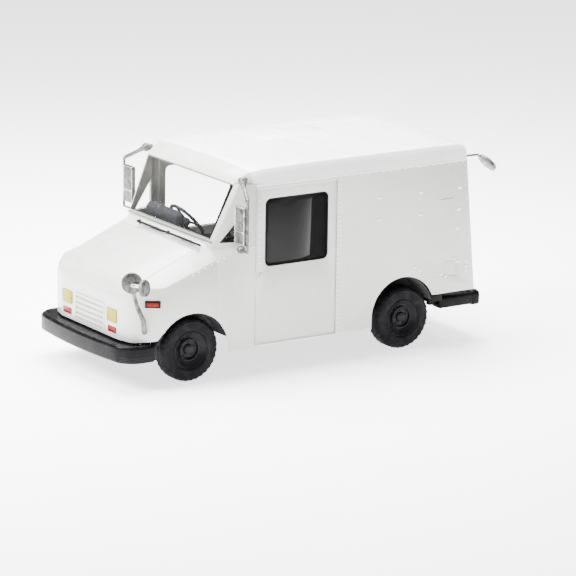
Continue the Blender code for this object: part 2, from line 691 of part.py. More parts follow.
def floors():
    """Cab floor, and the cargo floor with its rear wheelhouses."""
    side = BODY_HALF - 0.046
    cab_side = side - 0.030
    clear_u = 0.420
    half = [(0.440, at(COWL_U + 0.014)), (0.440, at(clear_u)), (cab_side, at(clear_u)),
            (cab_side, at(BULKHEAD_U))]
    outline = half + [(-x, y) for x, y in reversed(half)]
    make("cab_floor", plate([outline], "XY", CAB_FLOOR_Z - 0.0147, CAB_FLOOR_Z), "dark_grey")
    cargo = box((-side, at(BULKHEAD_U + 0.013), CARGO_FLOOR_Z - 0.015),
                (side, at(rear_u(0.59) - 0.110), CARGO_FLOOR_Z))
    part = make("cargo_floor", cargo, "dark_grey")
    solid, bore = wheelhouse(REAR_ARCH_U, REAR_ARCH_Z, REAR_ARCH_R, 0.600, side, 15)
    boolean(part, "UNION", both_sides(solid))
    return boolean(part, "DIFFERENCE", both_sides(bore))


def bulkhead():
    """Partition between the cab and the cargo space."""
    half = BODY_HALF - 0.050
    panel = box((-half, at(BULKHEAD_U), CAB_FLOOR_Z + GAP), (half, at(BULKHEAD_U + 0.012), 1.925))
    return make("bulkhead", panel, "dark_grey")


def wheelhouse(u, z, radius, inner_x, outer_x, low_angle):
    """Half-round wheelhouse solid and the bore that hollows it, on the left side."""
    chord = arc((at(u), z), radius - 3 * GAP, low_angle, 180 - low_angle, 14)
    bore = arc((at(u), z), radius - 0.014, low_angle - 20, 200 - low_angle, 14)
    return (plate([chord], "YZ", inner_x, outer_x),
            plate([bore], "YZ", inner_x + 0.008, outer_x + 0.05))


def wheel_shape(profile, side, u):
    """A wheel part turned about the axle, standing on one flat of its rim."""
    sides = 28
    grow = 1 / math.cos(math.pi / sides)
    mesh = turned([(r * grow, side * x) for r, x in profile], (0, 0, 0), sides)
    mesh.transform(Matrix.Translation((side * WHEEL_CENTRE_X, at(u), TYRE_RADIUS))
                   @ Matrix.Rotation(math.pi / sides, 4, "X"))
    return mesh


def wheels():
    """Tyres and rims of the four wheels."""
    half = TYRE_WIDTH / 2
    seat = RIM_RADIUS + GAP
    tyre_half = [(seat, 0.078), (0.215, 0.092), (0.260, half), (0.300, 0.092), (0.320, 0.080),
                 (TYRE_RADIUS, 0.062)]
    tyre = tyre_half + [(r, -x) for r, x in reversed(tyre_half)]
    rim = [(RIM_RADIUS, -0.085), (RIM_RADIUS, 0.077), (0.180, 0.080), (0.170, 0.045), (0.115, 0.030),
           (0.108, 0.060), (0.060, 0.068), (0.014, 0.068), (0.014, 0.056), (0.056, 0.056), (0.098, 0.048),
           (0.105, 0.018), (0.160, 0.030), (0.176, -0.085)]
    for end, u in (("front", 0.0), ("rear", WHEELBASE)):
        for suffix, side in (("left", 1), ("right", -1)):
            hub = (side * WHEEL_CENTRE_X, at(u), TYRE_RADIUS)
            smooth(make(f"tyre_{end}_{suffix}", wheel_shape(tyre, side, u), "rubber", hub))
            smooth(make(f"rim_{end}_{suffix}", wheel_shape(rim, side, u), "black_plastic", hub))


def steering_gear():
    """Steering knuckles with their arms, and the tie rod between them."""
    for suffix, side in (("left", 1), ("right", -1)):
        pin = (side * KINGPIN_X, at(0.0), TYRE_RADIUS)
        part = make("steering_knuckle_" + suffix,
                    rod((pin[0], pin[1], 0.235), (pin[0], pin[1], 0.415), 0.020, 12), "engine_metal", pin)
        spindle = rod(pin, (side * 0.795, pin[1], pin[2]), 0.018, 12)
        arm = tube([(side * KINGPIN_X, at(0.0), 0.300), (side * 0.600, at(0.130), 0.300)], 0.010)
        boolean(part, "UNION", spindle, arm)
    make("tie_rod", rod((-0.575, at(0.130), 0.300), (0.575, at(0.130), 0.300), 0.010, 10), "engine_metal")


def rear_axle():
    """Live rear axle with its differential and the leaf springs clamped under it."""
    axle_y = at(WHEELBASE)
    part = make("rear_axle", rod((-0.655, axle_y, TYRE_RADIUS), (0.655, axle_y, TYRE_RADIUS), 0.036, 16),
                "engine_metal", (0, at(WHEELBASE), TYRE_RADIUS))
    casing = rod((0, axle_y - 0.090, TYRE_RADIUS), (0, axle_y + 0.110, TYRE_RADIUS), 0.075, 16, 0.100)
    boolean(part, "UNION", casing)
    top = arc((at(WHEELBASE), 1.330), 1.0420, 242, 298, 10)
    bottom = list(reversed(arc((axle_y, 1.330), 1.0640, 242, 298, 10)))
    leaf = plate([top + bottom], "YZ", 0.475, 0.525)
    pad = box((0.470, at(WHEELBASE - 0.060), 0.262), (0.530, at(WHEELBASE + 0.060), 0.300))
    boolean(part, "UNION", both_sides(leaf), both_sides(pad))


def driveline():
    """Engine with its gearbox, propeller shaft, exhaust and fuel tank."""
    block = box((-0.200, at(-0.380), 0.370), (0.200, at(0.180), 0.780), 0.020)
    engine = make("engine", block, "engine_metal")
    cover = box((-0.090, at(-0.340), 0.770), (0.130, at(0.120), 0.860), 0.015)
    gearbox = rod((0, at(0.150), 0.400), (0, at(0.740), 0.390), 0.095, 12, 0.060)
    boolean(engine, "UNION", cover, gearbox)
    start, end = (0, at(0.745), 0.390), (0, at(WHEELBASE - 0.095), TYRE_RADIUS)
    make("propshaft", rod(start, end, 0.026, 12), "engine_metal", start)
    length = tube([(-0.250, at(-0.100), 0.393), (-0.250, at(3.380), 0.393)], 0.020, 1)
    pipe = make("exhaust", length, "engine_metal")
    boolean(pipe, "UNION", rod((-0.250, at(1.000), 0.393), (-0.250, at(1.450), 0.393), 0.060, 12))
    make("fuel_tank", box((0.460, at(1.000), 0.300), (0.820, at(1.600), 0.480), 0.020), "frame_black")


# --- cab fittings -------------------------------------------------------------------
def cab_fittings():
    """Dashboard with its binnacle, mail tray, seat and pedal."""
    low = box((-0.800, at(0.270), 1.060), (0.800, at(0.420), 1.310), 0.015)
    dash = make("dashboard", low, "dark_grey")
    binnacle = box((-0.620, at(0.330), 1.300), (0.030, at(0.435), 1.520), 0.040)
    tray = box((0.140, at(0.400), 1.150), (0.840, at(0.900), 1.300))
    hollow = box((0.150, at(0.450), 1.160), (0.830, at(0.890), 1.400))
    wheel, axis = steering_centre()
    boolean(dash, "UNION", binnacle, tray)
    boolean(dash, "DIFFERENCE", hollow)
    boolean(dash, "UNION", rod(wheel - axis * 0.050, wheel - axis * 0.300, 0.028, 14))
    seat = (DRIVER_X, at(1.130), CAB_FLOOR_Z + 0.001)
    make("seat_base", box((seat[0] - 0.180, at(0.960), seat[2]), (seat[0] + 0.180, at(1.340), 0.840), 0.010),
         "frame_black", seat)
    make("seat_cushion", box((seat[0] - 0.230, at(0.900), 0.842), (seat[0] + 0.230, at(1.390), 0.950), 0.030),
         "seat_fabric", (seat[0], at(1.150), 0.842))
    back = box((seat[0] - 0.220, at(1.395), 0.900), (seat[0] + 0.220, at(1.500), 1.480), 0.030)
    make("seat_back", back, "seat_fabric", (seat[0], at(1.440), 0.900))
    hinge = (DRIVER_X + 0.060, at(0.300), 0.860)
    left, right = (hinge[0] - 0.030, hinge[1], hinge[2]), (hinge[0] + 0.030, hinge[1], hinge[2])
    pedal = make("brake_pedal", tube([left, right], 0.010), "frame_black", hinge)
    boolean(pedal, "UNION", tube([hinge, (hinge[0], at(0.360), 0.700), (hinge[0], at(0.395), 0.620)], 0.008),
            box((hinge[0] - 0.040, at(0.388), 0.590), (hinge[0] + 0.040, at(0.402), 0.650)))


def steering_centre():
    """Centre of the steering wheel and the direction of its column towards the driver."""
    return Vector((DRIVER_X, at(0.600), 1.360)), Vector((0.0, 0.770, 0.638)).normalized()


def steering_wheel():
    """Steering wheel that turns at the top of the column."""
    centre, axis = steering_centre()
    turn = Vector((0, 0, 1)).rotation_difference(axis).to_matrix().to_4x4()
    rim = torus(0.215, 0.018)
    rim.transform(Matrix.Translation(centre) @ turn)
    part = make("steering_wheel", rim, "black_plastic", centre)
    hub = rod(centre - axis * 0.048, centre + axis * 0.010, 0.045, 14)
    spoke = box((-0.208, -0.016, -0.006), (0.208, 0.016, 0.006))
    spoke.transform(Matrix.Translation(centre) @ turn)
    boolean(part, "UNION", hub, spoke)


# --- wipers and mirrors -------------------------------------------------------------
def wipers():
    """Two parallel wipers, parked on the cowl ahead of the windshield."""
    normal = Vector((0.0, -1.0, WIPER_LEAN)).normalized()
    tilt = Matrix.Rotation(-math.atan(WIPER_LEAN), 4, "X")
    for suffix, x, length in WIPERS:
        foot = Vector((x, at(WIPER_U), hood_z(WIPER_U) + 0.014))
        boss = rod(foot, foot + normal * 0.036, 0.013, 12)
        part = make("wiper_" + suffix, boss, "black_plastic", foot)
        arm = box((0.0, -0.034, -0.008), (length * 0.60, -0.024, 0.008))
        blade = box((length * 0.16, -0.028, -0.008), (length, -0.010, 0.008))
        for mesh in (arm, blade):
            mesh.transform(Matrix.Translation(foot) @ tilt)
        boolean(part, "UNION", arm, blade)


def door_mirrors():
    """Outside mirror arms, and the mirror heads that swivel on their upright tubes."""
    post_x, post_u = MIRROR_POST
    for suffix, side in (("left", 1), ("right", -1)):
        upright = (side * post_x, at(post_u))
        path = [(side * 0.892, at(0.555), 2.000), (side * 0.935, at(0.530), 1.995), (*upright, 1.850),
                (*upright, 1.340), (side * 0.972, at(0.500), 1.315), (side * 0.946, at(0.512), 1.310)]
        make("mirror_arm_" + suffix, tube(path, 0.015, 1), "silver")
        shell = box((post_x - 0.205, at(post_u - 0.025), 1.400),
                    (post_x - 0.018, at(post_u + 0.025), 1.790), 0.012)
        if side < 0:
            shell = mirrored(shell)
        make("mirror_head_" + suffix, shell, "silver", (*upright, 1.595))


def disc(centre, normal, radius, thickness, sides=20):
    """A flat round head with its axis along a normal."""
    middle, half = Vector(centre), Vector(normal).normalized() * thickness / 2
    return rod(middle - half, middle + half, radius, sides)


def small_mirrors():
    """Cross-view mirror on the front corner and the rear mirror on the roof corner."""
    path = [(0.858, at(-0.540), 0.600), (0.872, at(-0.566), 0.700), (0.860, at(-0.630), 0.850),
            (0.841, at(-0.682), 1.050)]
    part = make("cross_view_mirror", tube(path, 0.020), "silver")
    front_head, side_head = (0.841, at(-0.682), 1.097), (0.925, at(-0.590), 1.052)
    boolean(part, "UNION", disc(front_head, (0.85, -0.50, 0.10), 0.105, 0.030),
            disc(side_head, (0.87, 0.45, 0.12), 0.085, 0.030),
            rod(front_head, side_head, 0.013, 10))
    arm = tube([(0.850, at(3.252), 1.950), (0.850, at(3.440), 1.946), (0.850, at(3.540), 1.880)], 0.012)
    part = make("rear_mirror", arm, "silver")
    boolean(part, "UNION", disc((0.850, at(3.5655), 1.850), (0.0, 0.746, 0.666), 0.110, 0.030),
            disc((0.850, at(3.258), 1.950), (0.0, 1.0, 0.0), 0.032, 0.012, 14))


# --- the truck ----------------------------------------------------------------------
fenders()
hood()
cab_front()
cab_glass()
roof()
body_side(1)
body_side(-1)
rear_frame()
door_side(1)
door_side(-1)
rear_sections()
fuel_flap()
lamps()
grille()
bumpers()
chassis()
floors()
bulkhead()
wheels()
steering_gear()
rear_axle()
driveline()
cab_fittings()
steering_wheel()
wipers()
door_mirrors()
small_mirrors()
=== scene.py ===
"""Looks for the mail delivery truck: materials, trim, upholstery, studio and camera."""
import math

import bmesh
import bpy
from mathutils import Matrix, Vector


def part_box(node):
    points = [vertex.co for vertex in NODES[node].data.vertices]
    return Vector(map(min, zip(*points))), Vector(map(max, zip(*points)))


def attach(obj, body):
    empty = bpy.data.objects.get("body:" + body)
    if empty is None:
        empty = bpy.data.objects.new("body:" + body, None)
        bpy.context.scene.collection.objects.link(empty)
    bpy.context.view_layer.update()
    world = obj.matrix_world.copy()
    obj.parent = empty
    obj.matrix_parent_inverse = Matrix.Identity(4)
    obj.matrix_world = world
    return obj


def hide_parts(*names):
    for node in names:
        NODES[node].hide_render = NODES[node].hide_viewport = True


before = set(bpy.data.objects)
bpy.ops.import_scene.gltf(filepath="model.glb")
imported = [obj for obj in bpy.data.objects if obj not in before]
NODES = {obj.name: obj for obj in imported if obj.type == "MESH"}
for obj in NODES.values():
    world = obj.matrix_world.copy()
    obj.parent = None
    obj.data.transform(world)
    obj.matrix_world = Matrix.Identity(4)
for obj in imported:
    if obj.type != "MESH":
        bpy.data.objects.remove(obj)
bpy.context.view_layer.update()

# The truck faces -Y, its left side is +X. A station u is the distance behind the front axle.
FRONT_AXLE_Y = -1.400
WHEELBASE = 2.553
TYRE_RADIUS = 0.325
WHEEL_X = 0.7515
BODY_HALF = 0.936
REAR_EDGE_U = 3.371
REAR_EDGE_Z = 0.576
REAR_LEAN = 0.0909
GLASS_LEAN = 0.447

# The roll-up door's sections lap upwards, each one set in from the one below.
DOOR_INSET = 0.034
SECTION_STEP = 0.024
SECTION_LOW_Z = 0.624
SECTION_HEIGHT = 0.29


def at(u):
    """Y coordinate of a station."""
    return FRONT_AXLE_Y + u


def rear_edge(z):
    """Y coordinate of the leaning rear edge of the body at a height."""
    return at(REAR_EDGE_U - (z - REAR_EDGE_Z) * REAR_LEAN)


# --- node materials -----------------------------------------------------------------
def new_material(name, color, roughness, metallic=0.0):
    """A Principled material with object coordinates ready to drive its detail."""
    material = bpy.data.materials.new(name)
    material.use_nodes = True
    tree = material.node_tree
    shader = tree.nodes["Principled BSDF"]
    shader.inputs["Base Color"].default_value = (*color, 1.0)
    shader.inputs["Roughness"].default_value = roughness
    shader.inputs["Metallic"].default_value = metallic
    return material, tree, shader


def stretched_coords(tree, stretch, kind="Object"):
    """The object's own coordinates, in metres, scaled along each axis."""
    coords = tree.nodes.new("ShaderNodeTexCoord")
    mapping = tree.nodes.new("ShaderNodeMapping")
    mapping.inputs["Scale"].default_value = stretch
    tree.links.new(coords.outputs[kind], mapping.inputs["Vector"])
    return mapping.outputs["Vector"]


def noise(tree, scale, detail=4.0, stretch=(1, 1, 1), kind="Object"):
    """Noise in the object's own coordinates, in metres, optionally stretched."""
    texture = tree.nodes.new("ShaderNodeTexNoise")
    texture.inputs["Scale"].default_value = scale
    texture.inputs["Detail"].default_value = detail
    tree.links.new(stretched_coords(tree, stretch, kind), texture.inputs["Vector"])
    return texture.outputs["Fac"]


def ramp(tree, value, low, high, start=0.35, end=0.65):
    """Map a value to a colour or grey between two ends."""
    node = tree.nodes.new("ShaderNodeValToRGB")
    node.color_ramp.elements[0].position = start
    node.color_ramp.elements[1].position = end
    for element, tone in zip(node.color_ramp.elements, (low, high)):
        element.color = (*tone, 1.0) if isinstance(tone, tuple) else (tone, tone, tone, 1.0)
    tree.links.new(value, node.inputs["Fac"])
    return node.outputs["Color"]


def mix(tree, factor, first, second, mode="MIX"):
    """Blend two colours by a factor that varies over the surface."""
    node = tree.nodes.new("ShaderNodeMix")
    node.data_type = "RGBA"
    node.blend_type = mode
    for index, value in ((0, factor), (6, first), (7, second)):
        if isinstance(value, float):
            node.inputs[index].default_value = value
        elif isinstance(value, tuple):
            node.inputs[index].default_value = (*value, 1.0)
        else:
            tree.links.new(value, node.inputs[index])
    return node.outputs[2]


def bump(tree, shader, height, strength, distance=0.001, normal=None):
    """Raise the surface by a height pattern."""
    node = tree.nodes.new("ShaderNodeBump")
    node.inputs["Strength"].default_value = strength
    node.inputs["Distance"].default_value = distance
    tree.links.new(height, node.inputs["Height"])
    if normal is not None:
        tree.links.new(normal, node.inputs["Normal"])
    tree.links.new(node.outputs["Normal"], shader.inputs["Normal"])
    return node.outputs["Normal"]


def height_mask(tree, low, high):
    """1 at a low height of the truck, fading to 0 at a higher one."""
    coords = tree.nodes.new("ShaderNodeTexCoord")
    split = tree.nodes.new("ShaderNodeSeparateXYZ")
    span = tree.nodes.new("ShaderNodeMapRange")
    span.inputs["From Min"].default_value = high
    span.inputs["From Max"].default_value = low
    tree.links.new(coords.outputs["Object"], split.inputs["Vector"])
    tree.links.new(split.outputs["Z"], span.inputs["Value"])
    return span.outputs["Result"]


def multiply(tree, first, second):
    """Product of two values."""
    node = tree.nodes.new("ShaderNodeMath")
    node.operation = "MULTIPLY"
    for socket, value in zip(node.inputs, (first, second)):
        if isinstance(value, float):
            socket.default_value = value
        else:
            tree.links.new(value, socket)
    return node.outputs["Value"]


def white_paint(name, base=(0.80, 0.80, 0.775), grime_and_low_darkening=0.10):
    """Gloss enamel with faint orange peel, cloudy tone, dark specks and streaky darkening towards the bottom.
    """
    material, tree, shader = new_material(name, base, 0.34)
    cloud = ramp(tree, noise(tree, 2.2, 5), tuple(c * 0.965 for c in base),
                 tuple(min(1, c * 1.02) for c in base))
    specks = ramp(tree, noise(tree, 60, 3), 0.0, 1.0, 0.62, 0.80)
    # Darker towards the bottom of the truck, in streaky noise.
    low_darkening = multiply(tree, height_mask(tree, 0.28, 0.95),
                    ramp(tree, noise(tree, 6, 6, (1, 1, 0.4)), 0.0, 1.0, 0.42, 0.72))
    low_darkened = mix(tree, multiply(tree, low_darkening, grime_and_low_darkening * 4), cloud, (0.52, 0.50, 0.46))
    color = mix(tree, multiply(tree, specks, grime_and_low_darkening), low_darkened, (0.60, 0.59, 0.56))
    tree.links.new(color, shader.inputs["Base Color"])
    tree.links.new(ramp(tree, noise(tree, 9, 4), 0.27, 0.44), shader.inputs["Roughness"])
    bump(tree, shader, noise(tree, 140, 2), 0.10, 0.0006)
    shader.inputs["Coat Weight"].default_value = 0.35
    shader.inputs["Coat Roughness"].default_value = 0.12
    return material


def plastic(name, color, roughness, grain=260, depth=0.25, wear=None):
    """Moulded plastic with a fine grain, dulled patches and paler rubbed areas."""
    material, tree, shader = new_material(name, color, roughness)
    pale = wear or tuple(min(1, c * 1.8 + 0.003) for c in color)
    patches = ramp(tree, noise(tree, 7, 6), color, pale, 0.45, 0.85)
    tree.links.new(patches, shader.inputs["Base Color"])
    tree.links.new(ramp(tree, noise(tree, 14, 5), roughness * 0.75, min(1, roughness * 1.3)),
                   shader.inputs["Roughness"])
    bump(tree, shader, noise(tree, grain, 3), depth, 0.0008)
    shader.inputs["Specular IOR Level"].default_value = 0.10
    return material


def metal(name, color, roughness, mottle=26, metallic=0.85):
    """Painted or cast metal, mottled, with fine scratches."""
    material, tree, shader = new_material(name, color, roughness, metallic)
    dark, bright = tuple(c * 0.45 for c in color), tuple(min(1, c * 1.9) for c in color)
    tone = ramp(tree, noise(tree, mottle, 4), dark, bright, 0.35, 0.65)
    tree.links.new(tone, shader.inputs["Base Color"])
    tree.links.new(ramp(tree, noise(tree, mottle * 2, 4), roughness * 0.7, min(1, roughness * 1.5)),
                   shader.inputs["Roughness"])
    scratches = noise(tree, 90, 3, (1, 1, 14))
    bump(tree, shader, scratches, 0.18, 0.0008)
    return material


def rubber(name, color=(0.0045, 0.0045, 0.0055)):
    """Tyre rubber with faint dust in patches."""
    material, tree, shader = new_material(name, color, 0.62)
    dust = ramp(tree, noise(tree, 12, 6), color, (0.014, 0.013, 0.014), 0.45, 0.80)
    shader.inputs["Specular IOR Level"].default_value = 0.08
    tree.links.new(dust, shader.inputs["Base Color"])
    tree.links.new(ramp(tree, noise(tree, 22, 5), 0.48, 0.78), shader.inputs["Roughness"])
    bump(tree, shader, noise(tree, 420, 3), 0.30, 0.0008)
    return material


def glass(name, tint=(0.10, 0.11, 0.11), alpha=0.04, clouds=(0.8, 1.5), gloss=0.18):
    """Clear safety glass, slightly tinted, with faint dust."""
    material, tree, shader = new_material(name, tint, 0.03)
    dust = ramp(tree, noise(tree, 8, 6), alpha * clouds[0], alpha * clouds[1], 0.35, 0.75)
    tree.links.new(dust, shader.inputs["Alpha"])
    tree.links.new(ramp(tree, noise(tree, 5, 5), 0.015, 0.09), shader.inputs["Roughness"])
    tree.links.new(ramp(tree, noise(tree, 3, 2), tuple(c * 0.96 for c in tint), tint),
                   shader.inputs["Base Color"])
    shader.inputs["Specular IOR Level"].default_value = gloss
    return material


def lens(name, color, flutes=(1, 0, 0), pitch=90.0):
    """Moulded lamp lens with fine flutes under a glossy face."""
    material, tree, shader = new_material(name, color, 0.16)
    waves = tree.nodes.new("ShaderNodeTexWave")
    waves.inputs["Scale"].default_value = pitch
    waves.inputs["Distortion"].default_value = 0.4
    tree.links.new(stretched_coords(tree, flutes), waves.inputs["Vector"])
    tone = mix(tree, ramp(tree, waves.outputs["Fac"], 0.0, 0.35), color, tuple(c * 0.72 for c in color))
    cloud = mix(tree, ramp(tree, noise(tree, 30, 4), 0.0, 0.4), tone, tuple(min(1, c * 1.2) for c in color))
    tree.links.new(cloud, shader.inputs["Base Color"])
    tree.links.new(ramp(tree, noise(tree, 40, 3), 0.10, 0.28), shader.inputs["Roughness"])
    bump(tree, shader, waves.outputs["Fac"], 0.35, 0.001)
    shader.inputs["Specular IOR Level"].default_value = 0.12
    return material


def woven(name, color=(0.055, 0.055, 0.062), pitch=900.0):
    """Plain woven upholstery: crossed threads with uneven dye."""
    material, tree, shader = new_material(name, color, 0.92)
    coords = tree.nodes.new("ShaderNodeTexCoord")
    heights = []
    for axis in ("X", "Z"):
        waves = tree.nodes.new("ShaderNodeTexWave")
        waves.bands_direction = axis
        waves.inputs["Scale"].default_value = pitch / 6
        waves.inputs["Distortion"].default_value = 0.8
        waves.inputs["Detail"].default_value = 1.0
        tree.links.new(coords.outputs["Object"], waves.inputs["Vector"])
        heights.append(waves.outputs["Fac"])
    weave = multiply(tree, *heights)
    tone = mix(tree, weave, tuple(c * 0.6 for c in color), tuple(c * 1.7 for c in color))
    worn = mix(tree, ramp(tree, noise(tree, 9, 5), 0.0, 0.5), tone, tuple(c * 2.2 for c in color))
    tree.links.new(worn, shader.inputs["Base Color"])
    tree.links.new(ramp(tree, noise(tree, 30, 4), 0.80, 0.98), shader.inputs["Roughness"])
    bump(tree, shader, weave, 0.5, 0.0012)
    shader.inputs["Sheen Weight"].default_value = 0.25
    return material


def mirror_face(name):
    """Silvered mirror glass with slight haze."""
    material, tree, shader = new_material(name, (0.78, 0.79, 0.79), 0.08, 1.0)
    haze = noise(tree, 18, 6)
    tree.links.new(ramp(tree, haze, (0.55, 0.56, 0.55), (0.84, 0.85, 0.85)), shader.inputs["Base Color"])
    tree.links.new(ramp(tree, haze, 0.05, 0.22), shader.inputs["Roughness"])
    return material


# The white body paint with its base darkened: painted shade. The roof, the raised parts and the inner faces
# get lighter and darker copies of it below.
WHITE = white_paint("white_enamel_painted_shade", (0.50, 0.504, 0.487))
# Lighter copy of the same white paint for the roof: painted light falling on the top.
TOP_LIT_WHITE = white_paint("roof_enamel_painted_top_light", (0.83, 0.83, 0.83), 0.05)
# Greyed copy of the white paint for faces inside the cab and body: painted shade.
INNER_PAINTED_SHADE = white_paint("inner_white_painted_shade", (0.42, 0.41, 0.375), 0.12)
# Near-black copy of the white paint for the windshield frame bead: painted shade along the frame.
SILL_PAINTED_SHADE = white_paint("window_sill_painted_shade", (0.13, 0.126, 0.115), 0.12)
# Brighter copy of the white paint for rivets, bosses and drip rails: painted highlights on the raised parts.
HIGHLIGHT_WHITE = white_paint("raised_enamel_painted_highlight", (0.86, 0.86, 0.85), 0.03)
GLOSS_BLACK = plastic("gloss_black_moulding", (0.0030, 0.0030, 0.0035), 0.22, 200, 0.08)
GLOSS_BLACK.node_tree.nodes["Principled BSDF"].inputs["Specular IOR Level"].default_value = 0.05
DARK_TRIM = plastic("dark_grained_trim", (0.014, 0.014, 0.016), 0.55, 320, 0.35)
FLOOR_MAT = plastic("cabin_floor_coating", (0.030, 0.030, 0.031), 0.70, 160, 0.6)
UNDERBODY = plastic("underbody_coating", (0.008, 0.008, 0.009), 0.60, 120, 0.5)
SEAL = plastic("rubber_seal", (0.006, 0.006, 0.007), 0.55, 300, 0.3)
WHEEL_BLACK = plastic("wheel_black_paint", (0.0045, 0.0045, 0.0055), 0.34, 240, 0.15)
TYRE = rubber("tyre_rubber")
SILVER = metal("silver_paint", (0.085, 0.085, 0.080), 0.40, 22, 0.65)
ALLOY = metal("cast_alloy", (0.10, 0.10, 0.105), 0.50, 16)
BRIGHT = metal("bright_steel", (0.50, 0.50, 0.49), 0.22, 20, 1.0)
CLEAR = glass("clear_glass")
YELLOW = lens("headlamp_lens", (0.29, 0.243, 0.0), (1, 0, 0), 60)
RED = lens("red_lens", (0.12, 0.001, 0.001), (0, 1, 1), 70)
AMBER = lens("lamp_red_orange", (0.15, 0.002, 0.001), (1, 0, 0), 80)
FABRIC = woven("seat_weave")
MIRROR = mirror_face("mirror_glass")


def paint_node(names, material, bevel=0.0, segments=2):
    """Give CAD nodes their material, soft edges and smooth shading."""
    for name in names:
        node = NODES[name]
        node.data.materials.clear()
        node.data.materials.append(material)
        for polygon in node.data.polygons:
            polygon.material_index = 0
        weld = node.modifiers.new("weld", "WELD")
        weld.merge_threshold = 0.00001
        if bevel:
            edge = node.modifiers.new("soft_edges", "BEVEL")
            edge.width = bevel
            edge.segments = segments
            edge.limit_method = "ANGLE"
            edge.angle_limit = math.radians(32)
            edge.harden_normals = False
            edge.use_clamp_overlap = True
        node.data.shade_smooth()
        node.data.set_sharp_from_angle(angle=math.radians(40))


def with_suffixes(stem, suffixes=("left", "right")):
    """Names that share a stem."""
    return [f"{stem}_{suffix}" for suffix in suffixes]


# The body panels take the darkened copy of the white paint: painted shade.
paint_node(["front_fenders", "cab_front", "hood"], WHITE, 0.006, 3)
# The roof takes the lighter copy of the paint: painted light on its top.
paint_node(["roof"], TOP_LIT_WHITE, 0.010, 3)
paint_node(["rear_frame", "fuel_flap", "grille", *with_suffixes("body_side"), *with_suffixes("door")],
           WHITE, 0.0015)
paint_node([f"rear_door_section_{k}" for k in range(1, 5)], WHITE, 0.003)
paint_node(["front_bumper", "rear_bumper"], GLOSS_BLACK, 0.018, 4)
paint_node(["steering_wheel"], DARK_TRIM)
paint_node(with_suffixes("wiper"), SEAL, 0.002)
paint_node(["chassis_frame", "fuel_tank"], UNDERBODY, 0.003)
paint_node(["seat_base", "brake_pedal"], UNDERBODY, 0.003)
paint_node(["cab_floor", "cargo_floor"], FLOOR_MAT, 0.002)
paint_node(["bulkhead"], DARK_TRIM, 0.002)
paint_node(["dashboard"], DARK_TRIM, 0.010, 3)
paint_node([name for name in NODES if name.startswith("tyre_")], TYRE)
paint_node([name for name in NODES if name.startswith("rim_")], WHEEL_BLACK)
paint_node([name for name in NODES if "mirror" in name], SILVER, 0.003)
paint_node(["engine", "exhaust", "propshaft", "rear_axle", "tie_rod", *with_suffixes("steering_knuckle")],
           ALLOY, 0.002)
paint_node(["windshield", *with_suffixes("quarter_window"), *with_suffixes("door_glass")], CLEAR)
paint_node(with_suffixes("headlight"), YELLOW, 0.006, 3)
paint_node(with_suffixes("tail_light"), RED, 0.006, 3)
paint_node(["seat_cushion", "seat_back"], FABRIC)

# --- building blocks ----------------------------------------------------------------
def finish_piece(name, bm, material, body, sharp=40, replaced=()):
    """Turn a bmesh into a shaded piece that rides on a CAD body."""
    bmesh.ops.recalc_face_normals(bm, faces=bm.faces[:])
    mesh = bpy.data.meshes.new(name)
    bm.to_mesh(mesh)
    bm.free()
    mesh.materials.append(material)
    mesh.shade_smooth()
    mesh.set_sharp_from_angle(angle=math.radians(sharp))
    piece = bpy.data.objects.new(name, mesh)
    bpy.context.scene.collection.objects.link(piece)
    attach(piece, body)
    if replaced:
        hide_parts(*replaced)
    return piece


def add_box(bm, low, high, bevel=0.0, matrix=None, segments=2):
    """A box between two corners, with soft edges, moved by a matrix."""
    low, high = Vector(low), Vector(high)
    place = Matrix.Translation((low + high) / 2) @ Matrix.Diagonal((*(high - low), 1.0))
    verts = bmesh.ops.create_cube(bm, size=1.0, matrix=place)["verts"]
    if bevel:
        edges = list({edge for vert in verts for edge in vert.link_edges})
        made = bmesh.ops.bevel(bm, geom=edges, offset=bevel, segments=segments, affect="EDGES",
                                profile=0.5)
        verts = list({vert for face in made["faces"] for vert in face.verts})
    if matrix is not None:
        bmesh.ops.transform(bm, matrix=matrix, verts=verts)


def add_rod(bm, start, end, radius, sides=16, end_radius=None):
    """A round bar between two points."""
    start, end = Vector(start), Vector(end)
    turn = Vector((0, 0, 1)).rotation_difference(end - start).to_matrix().to_4x4()
    bmesh.ops.create_cone(bm, cap_ends=True, segments=sides, radius1=radius,
                          radius2=radius if end_radius is None else end_radius,
                          depth=(end - start).length, matrix=Matrix.Translation((start + end) / 2) @ turn)


def add_ball(bm, centre, radius, squash=(1, 1, 1), detail=16):
    """A ball, flattened along the axes."""
    place = Matrix.Translation(Vector(centre)) @ Matrix.Diagonal((*squash, 1.0))
    bmesh.ops.create_uvsphere(bm, u_segments=detail, v_segments=detail // 2, radius=radius, matrix=place)


def add_tube(bm, points, radius, sides=10, closed=False):
    """A round tube through points, with flat ends unless it closes on itself."""
    points = [Vector(point) for point in points]
    count = len(points)
    rows = []
    side = None
    for index, point in enumerate(points):
        before = points[index - 1] if closed or index else point
        after = points[(index + 1) % count] if closed or index < count - 1 else point
        ahead = (after - before).normalized()
        if side is None:
            side = ahead.orthogonal().normalized()
        side = (side - ahead * side.dot(ahead)).normalized()
        other = ahead.cross(side)
        rows.append([bm.verts.new(point + (side * math.cos(a) + other * math.sin(a)) * radius)
                     for a in (2 * math.pi * k / sides for k in range(sides))])
    pairs = list(zip(rows, rows[1:])) + ([(rows[-1], rows[0])] if closed else [])
    for row, following in pairs:
        offset = 0
        if row is rows[-1]:
            offset = min(range(sides), key=lambda k: (following[k].co - row[0].co).length)
        for k in range(sides):
            bm.faces.new((row[k], row[(k + 1) % sides],
                          following[(k + 1 + offset) % sides], following[(k + offset) % sides]))
    if not closed:
        bm.faces.new(rows[0])
        bm.faces.new(rows[-1])


